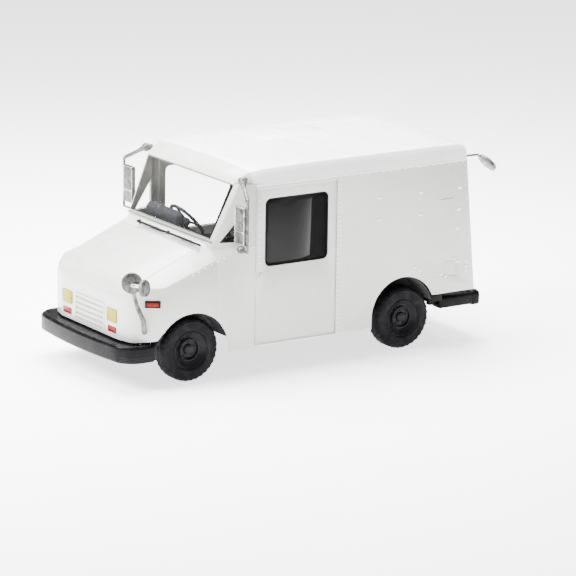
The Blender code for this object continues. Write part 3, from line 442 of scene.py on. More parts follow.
def lathe(profile, steps, closed):
    """A shape turned about the X axis from (radius, x) points."""
    bm = bmesh.new()
    verts = [bm.verts.new((x, 0.0, radius)) for radius, x in profile]
    edges = [bm.edges.new(pair) for pair in zip(verts, verts[1:])]
    if closed:
        edges.append(bm.edges.new((verts[-1], verts[0])))
    bmesh.ops.spin(bm, geom=verts + edges, cent=(0, 0, 0), axis=(1, 0, 0), angle=2 * math.pi, steps=steps,
                   use_merge=True)
    bmesh.ops.remove_doubles(bm, verts=bm.verts, dist=0.00002)
    return bm


def round_corners(low, high, radius, steps=6):
    """Corner points of a rectangle with round corners, in the plane."""
    left, bottom, right, top = low[0] + radius, low[1] + radius, high[0] - radius, high[1] - radius
    points = []
    for x, y, first in ((right, top, 0), (left, top, 90), (left, bottom, 180), (right, bottom, 270)):
        for step in range(steps + 1):
            angle = math.radians(first + 90 * step / steps)
            points.append((x + radius * math.cos(angle), y + radius * math.sin(angle)))
    return points


def hood_z(u):
    """Height of the hood's centre line."""
    return 1.025 + 0.425 * (u + 0.585)


def crease_z(u):
    """Height of the shoulder crease along the fender."""
    return 1.022 + 0.364 * (u + 0.331)


def on_windshield(x, z, lift=0.0):
    """A point on the windshield's outer face, raised along its normal."""
    normal = Vector((0.0, -1.0, GLASS_LEAN)).normalized()
    return Vector((x, at(0.235 + GLASS_LEAN * (z - 1.36)), z)) + normal * lift


def cab_wall(u, z):
    """A point on the cab's left outer wall between the windshield pillar and the B post."""
    rise = z - 1.36
    front_x, front_u = 0.775 + 0.11 * rise + 0.035, 0.235 + GLASS_LEAN * rise + 0.025
    rear_x, rear_u = 0.915, 0.585 + 0.03 * rise
    x = front_x + (rear_x - front_x) * (u - front_u) / (rear_u - front_u)
    return Vector((x, at(u), z))


def flip(point, side):
    """A left-hand point on the chosen side of the truck."""
    return Vector((point[0] * side, point[1], point[2]))


# --- body trim ----------------------------------------------------------------------
def line_inner_faces(names, material, centre, threshold=0.25):
    """Second material on the faces that look towards a point inside the cab or body."""
    for name in names:
        mesh = NODES[name].data
        mesh.materials.append(material)
        for polygon in mesh.polygons:
            ahead = (Vector(centre) - polygon.center).normalized()
            if polygon.normal.dot(ahead) > threshold:
                polygon.material_index = 1


def paint_front_faces(name, material):
    """One more material on the outer faces that look forward."""
    mesh = NODES[name].data
    mesh.materials.append(material)
    for polygon in mesh.polygons:
        if polygon.normal.y < -0.35 and polygon.material_index == 0:
            polygon.material_index = len(mesh.materials) - 1


def window_trim():
    """Rubber and metal beads round the windshield, quarter windows and door windows; the windshield frame
    bead is painted dark as shade.
    """
    low, high = (0.765, 1.412), (0.812, 1.943)
    bm = bmesh.new()
    add_rod(bm, on_windshield(low[0] - 0.004, low[1], 0.0),
            on_windshield(high[0] - 0.012, high[1] - 0.006, 0.0), 0.009,
            12, 0.020)
    finish_piece("windshield_seal_left", bm, SEAL, "root")
    bm = bmesh.new()
    corners = [(low[0], low[1]), (-low[0], low[1]), (-high[0], high[1]), (high[0] - 0.03, high[1])]
    add_tube(bm, [on_windshield(x, z, -0.001) for x, z in corners], 0.0055)
    add_tube(bm, [on_windshield(-0.80, 1.388, -0.001), on_windshield(0.80, 1.388, -0.001)], 0.012)
    add_tube(bm, [on_windshield(-0.77, 1.412, 0.001), on_windshield(0.77, 1.412, 0.001)], 0.006)
    # The frame bead takes the near-black copy of the paint: painted shade along the windshield frame.
    finish_piece("windshield_frame_bead", bm, SILL_PAINTED_SHADE, "root")
    for suffix, side in SIDES:
        bm = bmesh.new()
        quarter = [(0.336, 1.381), (0.572, 1.381), (0.572, 1.665)]
        add_tube(bm, [flip(cab_wall(u, z), side) for u, z in quarter], 0.007, closed=True)
        finish_piece("quarter_window_seal_" + suffix, bm, SEAL, "root")
        bm = bmesh.new()
        front_u = 0.815 if side > 0 else 0.755
        outline = round_corners((at(front_u), 1.100), (at(1.553), 1.784), 0.055)
        add_tube(bm, [(side * 0.919, y, z) for y, z in outline], 0.007, closed=True)
        finish_piece("door_window_seal_" + suffix, bm, SEAL, "sliding_door_" + suffix)


def add_rivet(bm, point, normal, radius=0.009):
    """A domed rivet head."""
    turn = Vector((0, 0, 1)).rotation_difference(Vector(normal)).to_matrix().to_4x4()
    place = Matrix.Translation(Vector(point)) @ turn @ Matrix.Diagonal((1, 1, 0.55, 1))
    bmesh.ops.create_uvsphere(bm, u_segments=8, v_segments=5, radius=radius, matrix=place)


def spread(first, last, step):
    """Evenly spaced values from first to last."""
    count = max(1, round(abs(last - first) / step))
    return [first + (last - first) * k / count for k in range(count + 1)]


def side_rivets():
    """Rivet rows, raised bosses, drip rail and seams on both body sides."""
    for suffix, side in SIDES:
        out = (side, 0, 0)
        bm = bmesh.new()
        for u in (1.673, 1.700):
            for z in spread(0.31, 1.90, 0.048):
                add_rivet(bm, (side * BODY_HALF, at(u), z), out)
        for u, z in [(u, 1.915) for u in spread(1.76, 3.20, 0.09)] + [(2.065, z) for z in (0.84, 0.80, 0.76)]:
            add_rivet(bm, (side * BODY_HALF, at(u), z), out)
        for centre_u, centre_z, radius, first, last in ((2.492, 0.393, 0.425, 28, 152),
                                                        (-0.035, 0.297, 0.462, 40, 140)):
            for angle in spread(first, last, 9):
                y = at(centre_u + radius * math.cos(math.radians(angle)))
                add_rivet(bm, (side * BODY_HALF, y, centre_z + radius * math.sin(math.radians(angle))), out,
                          0.008)
        for u in spread(-0.03, 0.62, 0.07):
            add_rivet(bm, (side * 0.925, at(u), crease_z(u) - 0.020), (side, 0, 0.8), 0.010)
        for z in spread(0.62, 1.88, 0.07):
            add_rivet(bm, (side * BODY_HALF, rear_edge(z) - 0.030, z), out)
        for u in (2.17, 2.68, 3.16):
            for z in (1.65, 1.42):
                add_box(bm, (side * BODY_HALF - 0.007, at(u) - 0.026, z - 0.015),
                        (side * BODY_HALF + 0.007, at(u) + 0.026, z + 0.015), 0.005)
        add_box(bm, (side * BODY_HALF - 0.007, at(3.12), 1.205),
                (side * BODY_HALF + 0.007, at(3.17), 1.240), 0.005)
        for u, z in ((2.625, 0.874), (2.690, 0.838), (2.950, 0.756), (3.01, 0.735), (3.114, 0.905),
                     (3.155, 0.872),
                     (3.26, 0.867), (3.262, 0.810), (3.265, 0.760)):
            add_rivet(bm, (side * BODY_HALF, at(u), z), out, 0.019)
        # Rivets and bosses take the brighter copy of the paint: painted highlights.
        finish_piece("body_rivets_" + suffix, bm, HIGHLIGHT_WHITE, "root")
        bm = bmesh.new()
        add_box(bm, (side * BODY_HALF - 0.006, at(0.690), 1.926),
                (side * BODY_HALF + 0.006, at(3.236), 1.941), 0.004)
        add_box(bm, (side * BODY_HALF - 0.006, at(0.700), 1.896),
                (side * BODY_HALF + 0.003, at(1.650), 1.906), 0.003)
        add_box(bm, (side * BODY_HALF - 0.004, at(0.735), 0.292),
                (side * BODY_HALF + 0.003, at(2.090), 0.304), 0.003)
        # The drip rail, ledge and sill strip take the brighter copy of the paint: painted highlight lines.
        finish_piece("drip_rail_" + suffix, bm, HIGHLIGHT_WHITE, "root")
        bm = bmesh.new()
        seam = side * (BODY_HALF + 0.0006)
        add_box(bm, (seam - 0.0008, at(0.6885), 0.290), (seam + 0.0008, at(0.6925), 0.815))
        add_box(bm, (seam - 0.0008, at(0.6885), 1.060), (seam + 0.0008, at(0.6920), 1.925))
        for z in spread(1.12, 1.86, 0.105):
            add_box(bm, (seam - 0.0008, at(0.672), z), (seam + 0.0008, at(0.686), z + 0.005))
        if side > 0:
            add_box(bm, (seam - 0.002, at(2.927), 1.543), (seam + 0.002, at(3.093), 1.551))
        finish_piece("panel_seams_" + suffix, bm, SEAM, "root")
        if side > 0:
            bm = bmesh.new()
            add_box(bm, (0.872, at(2.978), 0.722), (0.878, at(3.152), 0.898), 0.002)
            add_rod(bm, (0.876, at(3.065), 0.810), (0.905, at(3.065), 0.810), 0.042, 24)
            finish_piece("fuel_filler_cap", bm, DARK_TRIM, "root")
        bm = bmesh.new()
        for z in spread(1.14, 1.78, 0.075):
            add_box(bm, (side * 0.922 - 0.003, at(0.726), z - 0.006),
                    (side * 0.922 + 0.003, at(0.752), z + 0.006), 0.002)
        for z in spread(0.34, 1.04, 0.10):
            add_rivet(bm, (side * 0.922, at(1.620), z), out, 0.0055)
            add_rivet(bm, (side * 0.922, at(0.735), z), out, 0.0055)
        # The door rivets and strips take the brighter copy of the paint: painted highlights.
        finish_piece("door_rivets_" + suffix, bm, HIGHLIGHT_WHITE, "sliding_door_" + suffix)
        bm = bmesh.new()
        add_box(bm, (side * 0.924 - 0.004, at(0.735), 0.985), (side * 0.924 + 0.004, at(0.790), 1.045), 0.004)
        add_tube(bm, [(side * 0.927, at(0.748), 1.035), (side * 0.934, at(0.748), 1.030),
                      (side * 0.934, at(0.748), 1.000),
                      (side * 0.927, at(0.748), 0.995)], 0.004)
        finish_piece("door_handle_" + suffix, bm, WHITE, "sliding_door_" + suffix)


def roof_trim():
    """Raised hatch on the roof."""
    bm = bmesh.new()
    add_box(bm, (-0.62, at(1.45), 2.108), (-0.10, at(2.30), 2.1285), 0.004)
    # The hatch takes the roof's lighter copy of the paint: painted light on the top.
    finish_piece("roof_hatch", bm, TOP_LIT_WHITE, "root")


def corner_markers():
    """Red side markers in black bezels on the front corners, and red lamps under the headlamps."""
    along = Vector((0.549, 0.836, 0.0))
    out = Vector((along.y, -along.x, 0.0))
    centre = Vector((0.884, at(-0.468), 0.862))
    for suffix, side in SIDES:
        for name, material, slot, half_long, half_high, low, high in (
                ("side_marker_bezel_", GLOSS_BLACK, "black_bumper", 0.078, 0.036, -0.012, 0.010),
                ("side_marker_lens_", AMBER, "red_lens", 0.062, 0.021, 0.000, 0.015)):
            turn = Matrix((along, out, (0, 0, 1))).transposed().to_4x4()
            bm = bmesh.new()
            add_box(bm, (-half_long, low, -half_high), (half_long, high, half_high), 0.007,
                    Matrix.Translation(centre) @ turn, 4)
            bmesh.ops.scale(bm, vec=(side, 1, 1), verts=bm.verts)
            finish_piece(name + suffix, bm, material, "root")
        bm = bmesh.new()
        add_box(bm, (side * 0.443 - 0.083, at(-0.676), 0.508), (side * 0.443 + 0.083, at(-0.660), 0.572),
                0.006)
        finish_piece("front_lamp_red_" + suffix, bm, AMBER, "root")


def front_details():
    """Grille backing, bumper ridges, the front bumper moulding and its splash guards."""
    bm = bmesh.new()
    add_box(bm, (-0.280, at(-0.655), 0.490), (0.280, at(-0.650), 0.780))
    finish_piece("grille_backing", bm, GRILLE_GREY, "root")
    bm = bmesh.new()
    for side in (1, -1):
        for z in (0.335, 0.318, 0.301):
            ridge = [(side * (0.660 + 0.2385 * math.cos(math.radians(a))),
                      at(-0.575 + 0.2385 * math.sin(math.radians(a))), z) for a in range(-62, 1, 6)]
            ridge.append((side * 0.8985, at(-0.460), z))
            add_tube(bm, ridge, 0.0035, 8)
    finish_piece("bumper_ridges", bm, DARK_TRIM, "root")
    bm = bmesh.new()
    line = bumper_line()
    for index, (x, y) in enumerate(line):
        before, after = Vector(line[max(0, index - 1)]), Vector(line[min(len(line) - 1, index + 1)])
        ahead = (after - before).normalized()
        inward = Vector((-ahead.y, ahead.x))
        shrink = 0.86 if index in (0, len(line) - 1) else 1.0
        row = [bm.verts.new((x + inward.x * depth, y + inward.y * depth, 0.3635 + (z - 0.3635) * shrink))
               for depth, z in round_corners((0.0, 0.275), (0.070, 0.452), 0.030, 5)]
        if index:
            for first, second, third, fourth in zip(last, last[1:] + last[:1], row[1:] + row[:1], row):
                bm.faces.new((first, second, third, fourth))
        else:
            bm.faces.new(row)
        last = row
    bm.faces.new(last)
    outline = [(x * 0.97, y + 0.020) for x, y in line] + [(0.700, at(-0.612)), (-0.700, at(-0.612))]
    plate = bm.faces.new([bm.verts.new((x, y, 0.424)) for x, y in outline])
    raised = bmesh.ops.extrude_face_region(bm, geom=[plate])["geom"]
    bmesh.ops.translate(bm, vec=(0, 0, 0.016),
                        verts=[item for item in raised if isinstance(item, bmesh.types.BMVert)])
    finish_piece("front_bumper_moulding", bm, GLOSS_BLACK, "root", 45, ("front_bumper",))
    bm = bmesh.new()
    for side in (1, -1):
        low, high = sorted((side * 0.600, side * 0.740))
        add_box(bm, (low, at(-0.615), 0.430), (high, at(-0.500), 0.457), 0.008)
        low, high = sorted((side * 0.700, side * 0.830))
        add_box(bm, (low, at(-0.530), 0.430), (high, at(-0.455), 0.476), 0.010)
        low, high = sorted((side * 0.78, side * 0.890))
        add_box(bm, (low, at(-0.470), 0.290), (high, at(-0.412), 0.440), 0.012)
    finish_piece("bumper_splash_guards", bm, UNDERBODY, "root")


def bumper_line():
    """Outer plan line of the front bumper, from its right end round to its left end."""
    left = [(0.742 * step / 8, at(-0.850 + 0.0495 * (step / 8) ** 2)) for step in range(8)]
    left += [(0.660 + 0.240 * math.cos(math.radians(a)), at(-0.575 + 0.240 * math.sin(math.radians(a))))
             for a in range(-70, 1, 7)]
    left += [(0.900, at(-0.470)), (0.900, at(-0.456)), (0.899, at(-0.452))]
    return [(-x, y) for x, y in reversed(left[1:])] + left


def rear_bumper():
    """Rounded rear bumper with its side steps and links."""
    bm = bmesh.new()
    add_box(bm, (-0.860, at(3.400), 0.350), (0.860, at(3.520), 0.500), 0.034, None, 4)
    for side in (1, -1):
        low, high = sorted((side * 0.700, side * 0.856))
        add_box(bm, (low, at(3.000), 0.362), (high, at(3.440), 0.486), 0.026, None, 4)
        low, high = sorted((side * 0.740, side * 0.800))
        add_box(bm, (low, at(2.905), 0.400), (high, at(3.030), 0.455), 0.012)
        low, high = sorted((side * 0.740, side * 0.860))
        add_box(bm, (low, at(2.860), 0.452), (high, at(3.030), 0.545), 0.008)
    finish_piece("rear_bumper_moulding", bm, GLOSS_BLACK, "root", 45, ("rear_bumper",))


def wipers():
    """Rubber blades and sprung arms lying on the cowl."""
    tilt = Matrix.Rotation(-math.atan(0.565), 4, "X")
    for suffix, x, length in (("left", 0.14, 0.62), ("right", -0.42, 0.53)):
        place = Matrix.Translation((x, at(0.160), hood_z(0.160) + 0.014)) @ tilt
        bm = bmesh.new()
        add_box(bm, (length * 0.10, -0.038, -0.010), (length, 0.002, 0.010), 0.004, place)
        add_box(bm, (length * 0.36, -0.044, -0.006), (length * 0.78, 0.012, 0.012), 0.006, place)
        add_box(bm, (-0.016, -0.036, -0.004), (length * 0.58, -0.022, 0.013), 0.004, place)
        add_ball(bm, place @ Vector((0, -0.010, 0.012)), 0.017)
        finish_piece("wiper_blade_" + suffix, bm, SEAL, "wiper_" + suffix)


# --- wheels -------------------------------------------------------------------------
def tyre_profile():
    """Half section of the tyre from the bead over the sidewall rings to the middle rib."""
    return [(0.1905, 0.078), (0.200, 0.088), (0.210, 0.0945), (0.218, 0.0968), (0.223, 0.0982),
            (0.229, 0.0968),
            (0.250, 0.0972), (0.254, 0.0986), (0.259, 0.0970), (0.282, 0.0945), (0.286, 0.0955), (0.291,
                                                                                                  0.0925),
            (0.304, 0.0870), (0.312, 0.0810), (0.319, 0.0720), (0.3235, 0.0620), (0.3245, 0.0420), (0.3180,
                                                                                                    0.0400),
            (0.3180, 0.0340), (0.3248, 0.0320), (0.3250, 0.0080), (0.3185, 0.0065)]


def tyre(name, centre, body):
    """Tyre with sidewall rings, grooves and shoulder lugs."""
    half = tyre_profile()
    steps = 128
    bm = lathe(half + [(radius, -x) for radius, x in reversed(half)], steps, True)
    for vert in bm.verts:
        radius = math.hypot(vert.co.y, vert.co.z)
        tooth = round(math.atan2(vert.co.y, vert.co.z) / (2 * math.pi) * steps)
        if tooth % 4 in (0, 1) and radius > 0.300 and abs(vert.co.x) > 0.060:
            shrink = 0.980 if abs(vert.co.x) > 0.070 else 0.988
            vert.co.y *= shrink
            vert.co.z *= shrink
            vert.co.x *= 0.985
    bmesh.ops.translate(bm, vec=centre, verts=bm.verts)
    finish_piece(name + "_tread", bm, TYRE, body, 35, (name,))


def wheel(name, centre, body, side):
    """Dished steel wheel with a raised ring, hub cap, wheel nuts and valve."""
    profile = [(0.1895, 0.0765), (0.188, 0.084), (0.182, 0.087), (0.176, 0.085), (0.170, 0.078),
               (0.160, 0.070),
               (0.146, 0.060), (0.124, 0.048), (0.118, 0.048), (0.115, 0.060), (0.110, 0.067), (0.103, 0.067),
               (0.098, 0.058), (0.094, 0.042), (0.076, 0.036), (0.056, 0.038), (0.052, 0.050), (0.046, 0.058),
               (0.030, 0.062), (0.0, 0.063)]
    back = [(0.0, -0.020), (0.150, -0.020), (0.172, -0.082), (0.1895, -0.084)]
    bm = lathe([(radius, side * x) for radius, x in profile + back], 72, True)
    for index in range(5):
        angle = 2 * math.pi * index / 5
        y, z = 0.074 * math.sin(angle), 0.074 * math.cos(angle)
        add_rod(bm, (side * 0.030, y, z), (side * 0.050, y, z), 0.010, 6)
    for index in range(10):
        angle = 2 * math.pi * (index + 0.5) / 10
        add_ball(bm, (side * 0.058, 0.142 * math.sin(angle), 0.142 * math.cos(angle)), 0.010, (0.5, 1, 1), 10)
    add_rod(bm, (side * 0.060, 0.0, 0.160), (side * 0.085, 0.0, 0.152), 0.004, 8)
    bmesh.ops.translate(bm, vec=centre, verts=bm.verts)
    finish_piece(name + "_dish", bm, WHEEL_BLACK, body, 35, (name,))


def wheels():
    """All four wheels."""
    for end, u in (("front", 0.0), ("rear", WHEELBASE)):
        for suffix, side in SIDES:
            centre = Vector((side * WHEEL_X, at(u), TYRE_RADIUS))
            tyre(f"tyre_{end}_{suffix}", centre, f"wheel_{end}_{suffix}")
            wheel(f"rim_{end}_{suffix}", centre, f"wheel_{end}_{suffix}", side)


# --- mirrors ------------------------------------------------------------------------
def door_mirrors():
    """Two-pane mirror heads, their arm clamps and the arm feet."""
    post_x, y = 1.190, at(0.430)
    for suffix, side in SIDES:
        body = "mirror_" + suffix
        inner, outer = sorted((side * (post_x - 0.203), side * (post_x - 0.020)))
        bm = bmesh.new()
        add_box(bm, (inner, y - 0.024, 1.401), (outer, y + 0.018, 1.789), 0.012)
        for z in (1.430, 1.760):
            add_rod(bm, (side * (post_x - 0.036), y, z), (side * (post_x - 0.0165), y, z), 0.012)
        finish_piece("mirror_shell_" + suffix, bm, SILVER, body, 40,
                     ("mirror_head_" + suffix,))
        bm = bmesh.new()
        add_box(bm, (inner + 0.010, y - 0.0275, 1.528), (outer - 0.010, y - 0.022, 1.538), 0.002)
        add_tube(bm, [(x, y - 0.024, z) for x,
                      z in round_corners((inner + 0.010, 1.411), (outer - 0.010, 1.779), 0.014)],
                 0.0035, 8, True)
        add_box(bm, (inner + 0.008, y + 0.016, 1.528), (outer - 0.008, y + 0.0225, 1.538), 0.002)
        finish_piece("mirror_rim_" + suffix, bm, BRIGHT, body)
        bm = bmesh.new()
        add_box(bm, (inner + 0.010, y + 0.015, 1.540), (outer - 0.010, y + 0.020, 1.780), 0.003)
        add_box(bm, (inner + 0.010, y + 0.015, 1.412), (outer - 0.010, y + 0.022, 1.526), 0.006)
        finish_piece("mirror_panes_" + suffix, bm, MIRROR, body)
        bm = bmesh.new()
        add_ball(bm, (side * 0.925, at(0.535), 2.000), 0.046, (1, 1, 1))
        add_box(bm, (side * 0.905 - 0.020, at(0.500), 1.968), (side * 0.905 + 0.020, at(0.600), 2.030), 0.014)
        add_rod(bm, (side * 0.935, at(0.530), 1.998), (side * 1.020, at(0.497), 1.945), 0.034, 12, 0.019)
        add_rod(bm, (side * 1.000, at(0.505), 1.958), (side * 1.178, at(0.435), 1.857), 0.020, 12)
        add_ball(bm, (side * 0.962, at(0.502), 1.316), 0.042, (1.2, 1, 0.9))
        add_rod(bm, (side * 0.930, at(0.520), 1.312), (side * 0.962, at(0.502), 1.314), 0.030)
        for z in (1.375, 1.815):
            add_rod(bm, (side * post_x, y, z - 0.014), (side * post_x, y, z + 0.014), 0.0130)
        finish_piece("mirror_clamps_" + suffix, bm, SILVER, "root")


def small_mirror_details():
    """Rims of the cross-view and rear mirrors, the cross-view mirrors' bars and foot."""
    heads = (((0.841, at(-0.682), 1.097), (0.85, -0.50, 0.10), 0.105),
             ((0.925, at(-0.590), 1.052), (0.87, 0.45, 0.12), 0.085),
             ((0.850, at(3.5655), 1.850), (0.0, 0.746, 0.666), 0.110))
    bm = bmesh.new()
    for centre, normal, radius in heads:
        turn = Vector((0, 0, 1)).rotation_difference(Vector(normal)).to_matrix()
        ring = [Vector(centre) + turn @ Vector((radius * 0.93 * math.cos(a), radius * 0.93 * math.sin(a),
                                                0.014))
                for a in (2 * math.pi * k / 32 for k in range(32))]
        add_tube(bm, ring, 0.005, 8, True)
    add_rod(bm, heads[0][0], Vector(heads[1][0]) + Vector((0.006, -0.004, 0.010)), 0.015, 12)
    add_rod(bm, Vector((0.850, -0.500, 0.100)) * 0.030 + Vector(heads[0][0]),
            Vector((0.850, -0.500, 0.100)) * 0.010 + Vector(heads[0][0]), 0.030)
    finish_piece("small_mirror_rims", bm, SILVER, "root")
    bm = bmesh.new()
    add_rod(bm, (0.885, at(-0.715), 1.090), (0.950, at(-0.645), 1.075), 0.017, 12)
    finish_piece("cross_view_mirror_bar", bm, BRIGHT, "root")
    bm = bmesh.new()
    add_tube(bm, [(0.858, at(-0.545), 0.585), (0.866, at(-0.556), 0.640), (0.872, at(-0.566), 0.700)],
             0.026, 12)
    add_ball(bm, (0.858, at(-0.545), 0.590), 0.028, (1, 1, 1.1))
    add_rod(bm, (0.872, at(-0.566), 0.700), (0.860, at(-0.630), 0.850), 0.025, 12, 0.022)
    finish_piece("cross_view_mirror_foot", bm, SILVER, "root")


# --- cab interior -------------------------------------------------------------------
def steering_wheel():
    """Padded rim with three spokes and a horn pad."""
    centre = Vector((-0.220, at(0.600), 1.360))
    axis = Vector((0.0, 0.770, 0.638)).normalized()
    turn = Matrix.Translation(centre) @ Vector((0, 0, 1)).rotation_difference(axis).to_matrix().to_4x4()
    bm = bmesh.new()
    add_tube(bm, [(0.215 * math.cos(a), 0.215 * math.sin(a), 0)
                  for a in (2 * math.pi * k / 48 for k in range(48))],
             0.0178, 12, True)
    for angle in (0, 180, 270):
        spin = Matrix.Rotation(math.radians(angle), 4, "Z")
        add_box(bm, (0.030, -0.018, -0.008), (0.206, 0.018, 0.004), 0.004, spin)
    add_rod(bm, (0, 0, -0.048), (0, 0, 0.010), 0.045, 24)
    add_box(bm, (-0.060, -0.045, -0.006), (0.060, 0.035, 0.014), 0.010)
    bmesh.ops.transform(bm, matrix=turn, verts=bm.verts)
    finish_piece("steering_wheel_rim", bm, DARK_TRIM, "steering_wheel", 40,
                 ("steering_wheel",))


def cushion(name, node, body, cap, seams):
    """Upholstered pad: a slightly smaller block swollen as sealed cloth, with piping sewn on afterwards."""
    low, high = (Vector(corner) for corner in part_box(node))
    inset = Vector((0.010, 0.010, 0.006)) if high.z - low.z < 0.2 else Vector((0.010, 0.006, 0.010))
    bm = bmesh.new()
    add_box(bm, low + inset, high - inset, 0.020)
    pad = finish_piece(name, bm, FABRIC, body, 80, (node,))
    remesh = pad.modifiers.new("remesh", "REMESH")
    remesh.mode = "VOXEL"
    remesh.voxel_size = 0.009
    bpy.context.view_layer.objects.active = pad
    with bpy.context.temp_override(object=pad, active_object=pad):
        bpy.ops.object.modifier_apply(modifier="remesh")
    start = [vert.co.copy() for vert in pad.data.vertices]
    cloth = pad.modifiers.new("cloth", "CLOTH")
    cloth.settings.use_pressure = True
    cloth.settings.uniform_pressure_force = 4.0
    cloth.settings.effector_weights.gravity = 0.0
    cloth.point_cache.frame_start = 1
    cloth.point_cache.frame_end = 20
    scene = bpy.context.scene
    for number in range(1, 21):
        scene.frame_set(number)
    with bpy.context.temp_override(object=pad, active_object=pad):
        bpy.ops.object.modifier_apply(modifier="cloth")
    scene.frame_set(1)
    for vert, first in zip(pad.data.vertices, start):
        move = vert.co - first
        if move.length > cap:
            vert.co = first + move.normalized() * cap
    for vert in pad.data.vertices:
        for axis in range(3):
            vert.co[axis] = min(max(vert.co[axis], low[axis] + 0.001), high[axis] - 0.001)
    smooth = pad.modifiers.new("smooth", "SMOOTH")
    smooth.iterations = 4
    fine = pad.modifiers.new("fine", "SUBSURF")
    fine.levels = fine.render_levels = 1
    pad.data.shade_smooth()
    bm = bmesh.new()
    for path in seams(low, high):
        add_tube(bm, path, 0.0045, 8, True)
    finish_piece(name + "_piping", bm, SEAL, body)


def seat_seams(low, high):
    """Piping round the top of the seat cushion."""
    outline = round_corners((low.x + 0.018, low.y + 0.018), (high.x - 0.018, high.y - 0.018), 0.045)
    return [[(x, y, high.z - 0.012) for x, y in outline]]


def back_seams(low, high):
    """Piping round the front of the seat back."""
    outline = round_corners((low.x + 0.018, low.z + 0.018), (high.x - 0.018, high.z - 0.018), 0.045)
    return [[(x, low.y + 0.012, z) for x, z in outline]]


def cab_details():
    """Instruments, vents and mail tray dividers."""
    bm = bmesh.new()
    for x in (-0.30, -0.14):
        add_rod(bm, (x, at(0.4345), 1.435), (x, at(0.4400), 1.435), 0.055, 32)
    for x in (-0.55, 0.45):
        for z in (1.200, 1.225, 1.250):
            add_box(bm, (x - 0.060, at(0.418), z - 0.006), (x + 0.060, at(0.424), z + 0.006), 0.002)
    finish_piece("instruments", bm, GLOSS_BLACK, "root")
    bm = bmesh.new()
    for x in (0.32, 0.49, 0.66):
        add_box(bm, (x - 0.004, at(0.456), 1.166), (x + 0.004, at(0.884), 1.285), 0.002)
    finish_piece("tray_dividers", bm, ALLOY, "root")


# --- rear and underside -------------------------------------------------------------
def rear_details():
    """Ribs, handle and latch on the roll-up door, lamp reflectors, the door seal and the step treads."""
    for index in range(4):
        bm = bmesh.new()
        bottom = SECTION_LOW_Z + SECTION_HEIGHT * index
        for z in (bottom + 0.075, bottom + 0.150, bottom + 0.225):
            rear = rear_edge(z) - DOOR_INSET - SECTION_STEP * index
            add_box(bm, (-0.690, rear - 0.006, z - 0.008), (0.690, rear + 0.0015, z + 0.008), 0.001)
        finish_piece(f"rear_door_ribs_{index + 1}", bm, WHITE, f"rear_section_{index + 1}")
    bm = bmesh.new()
    slope = Matrix.Rotation(math.atan(REAR_LEAN), 4, "X")
    for z, half_width, half_height in ((0.659, 0.090, 0.009), (0.7385, 0.028, 0.0265)):
        face = Matrix.Translation((0, rear_edge(z) - DOOR_INSET, z)) @ slope
        add_box(bm, (-half_width, -0.005, -half_height), (half_width, 0.0012, half_height), 0.001, face)
    finish_piece("rear_door_handle", bm, BRIGHT, "rear_section_1")
    bm = bmesh.new()
    for side in (1, -1):
        y = rear_edge(0.895)
        add_box(bm, (side * 0.820 - 0.040, y - 0.004, 0.870), (side * 0.820 + 0.040, y + 0.006, 0.920), 0.005)
        y = rear_edge(1.86)
        add_box(bm, (side * 0.780 - 0.045, y - 0.004, 1.842), (side * 0.780 + 0.045, y + 0.007, 1.876), 0.005)
    finish_piece("rear_reflectors", bm, RED, "root")
    bm = bmesh.new()
    for side in (1, -1):
        points = [(side * 0.712, rear_edge(z) + 0.002, z) for z in (0.60, 1.79)]
        add_tube(bm, points, 0.006, 8)
    points = [(x, rear_edge(1.795) + 0.002, 1.795) for x in (-0.715, 0.715)]
    add_tube(bm, points, 0.008, 8)
    finish_piece("rear_door_seal", bm, SEAL, "root")
    bm = bmesh.new()
    for x in spread(-0.78, 0.78, 0.13):
        add_box(bm, (x - 0.040, at(3.415), 0.497), (x + 0.040, at(3.505), 0.503), 0.002)
    finish_piece("rear_step_treads", bm, FLOOR_MAT, "root")


SIDES = (("left", 1), ("right", -1))
SEAM = plastic("panel_gap", (0.22, 0.22, 0.22), 0.8, 200, 0.1)
GRILLE_GREY = plastic("grille_backing", (0.42, 0.42, 0.41), 0.7, 200, 0.2)
DARK_GLASS = glass("dark_side_glass", (0.009, 0.009, 0.0095), 0.99, (1.0, 1.0), 0.08)
CAB_CENTRE = (0.0, at(1.0), 1.25)
# Inward-looking faces of the cab take the greyed copy of the paint: painted shade.
line_inner_faces(["cab_front", "roof", *with_suffixes("door")], INNER_PAINTED_SHADE, CAB_CENTRE)
# The roof's forward faces take the darker copy of the paint: painted shade against the lit top.
paint_front_faces("roof", WHITE)
# Inward-looking faces of the cargo body take the same painted shade.
line_inner_faces(with_suffixes("body_side"), INNER_PAINTED_SHADE, (0.0, at(2.4), 1.2), 0.2)
line_inner_faces(["hood", "front_fenders"], UNDERBODY, (0.0, at(-0.10), 0.60), 0.2)
NODES["door_glass_left"].data.materials[0] = DARK_GLASS
NODES["door_glass_right"].data.materials[0] = CLEAR
window_trim()
side_rivets()
roof_trim()
corner_markers()
front_details()
rear_bumper()
wipers()
wheels()
door_mirrors()
small_mirror_details()
steering_wheel()
cab_details()
rear_details()
cushion("driver_seat_pad", "seat_cushion", "seat", 0.016, seat_seams)
cushion("driver_back_pad", "seat_back", "seat", 0.016, back_seams)


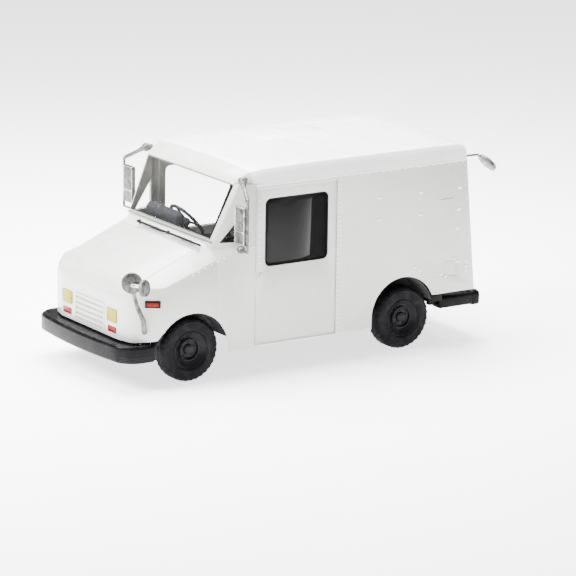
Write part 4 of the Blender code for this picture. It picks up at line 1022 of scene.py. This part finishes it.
# --- studio -------------------------------------------------------------------------
def studio():
    """Pale floor, white surroundings and large soft lights."""
    bpy.ops.mesh.primitive_plane_add(size=60, location=(0, 0, 0))
    floor = bpy.context.object
    floor.name = "studio_floor"
    material, tree, shader = new_material("studio_floor", (0.93, 0.93, 0.93), 0.9)
    tree.links.new(ramp(tree, noise(tree, 0.8, 3), 0.92, 0.94), shader.inputs["Base Color"])
    shader.inputs["Emission Color"].default_value = (1.0, 1.0, 1.0, 1.0)
    shader.inputs["Emission Strength"].default_value = 2.0
    floor.data.materials.append(material)
    world = bpy.data.worlds.new("studio")
    world.use_nodes = True
    world.node_tree.nodes["Background"].inputs["Color"].default_value = (1, 1, 1, 1)
    world.node_tree.nodes["Background"].inputs["Strength"].default_value = 0.55
    bpy.context.scene.world = world
    for name, place, size, power in (("key", (-2.0, -9.0, 9.0), 6.0, 5600),
                                     ("top", (-3.0, 1.0, 10.0), 9.0, 8200),
                                     ("side", (10.0, -2.0, 5.0), 6.0, 100)):
        light = bpy.data.lights.new(name, "AREA")
        light.size = size
        light.energy = power
        lamp = bpy.data.objects.new(name, light)
        lamp.location = place
        lamp.rotation_euler = (Vector((0, 0, 1.0)) - Vector(place)).to_track_quat("-Z", "Y").to_euler()
        bpy.context.scene.collection.objects.link(lamp)


def camera():
    """Long lens from the front left, at the height of a person standing well back."""
    azimuth, elevation, roll = math.radians(57.25), math.radians(13.64), 0.0126
    target, distance = Vector((0.0, -0.0307, 1.0)), 40.55
    back = Vector((math.sin(azimuth) * math.cos(elevation), -math.cos(azimuth) * math.cos(elevation),
                   math.sin(elevation)))
    across = Vector((0, 0, 1)).cross(back).normalized()
    upward = back.cross(across)
    right = math.cos(roll) * across + math.sin(roll) * upward
    top = -math.sin(roll) * across + math.cos(roll) * upward
    data = bpy.data.cameras.new("camera")
    data.sensor_width = 36.0
    data.lens = 247.6
    data.shift_x = 0.0448
    data.shift_y = -0.0648
    data.clip_end = 200.0
    eye = bpy.data.objects.new("camera", data)
    eye.matrix_world = Matrix.Translation(target + back * distance) @ Matrix((right, top,
                                                                              back)).transposed().to_4x4()
    bpy.context.scene.collection.objects.link(eye)
    bpy.context.scene.camera = eye


studio()
camera()
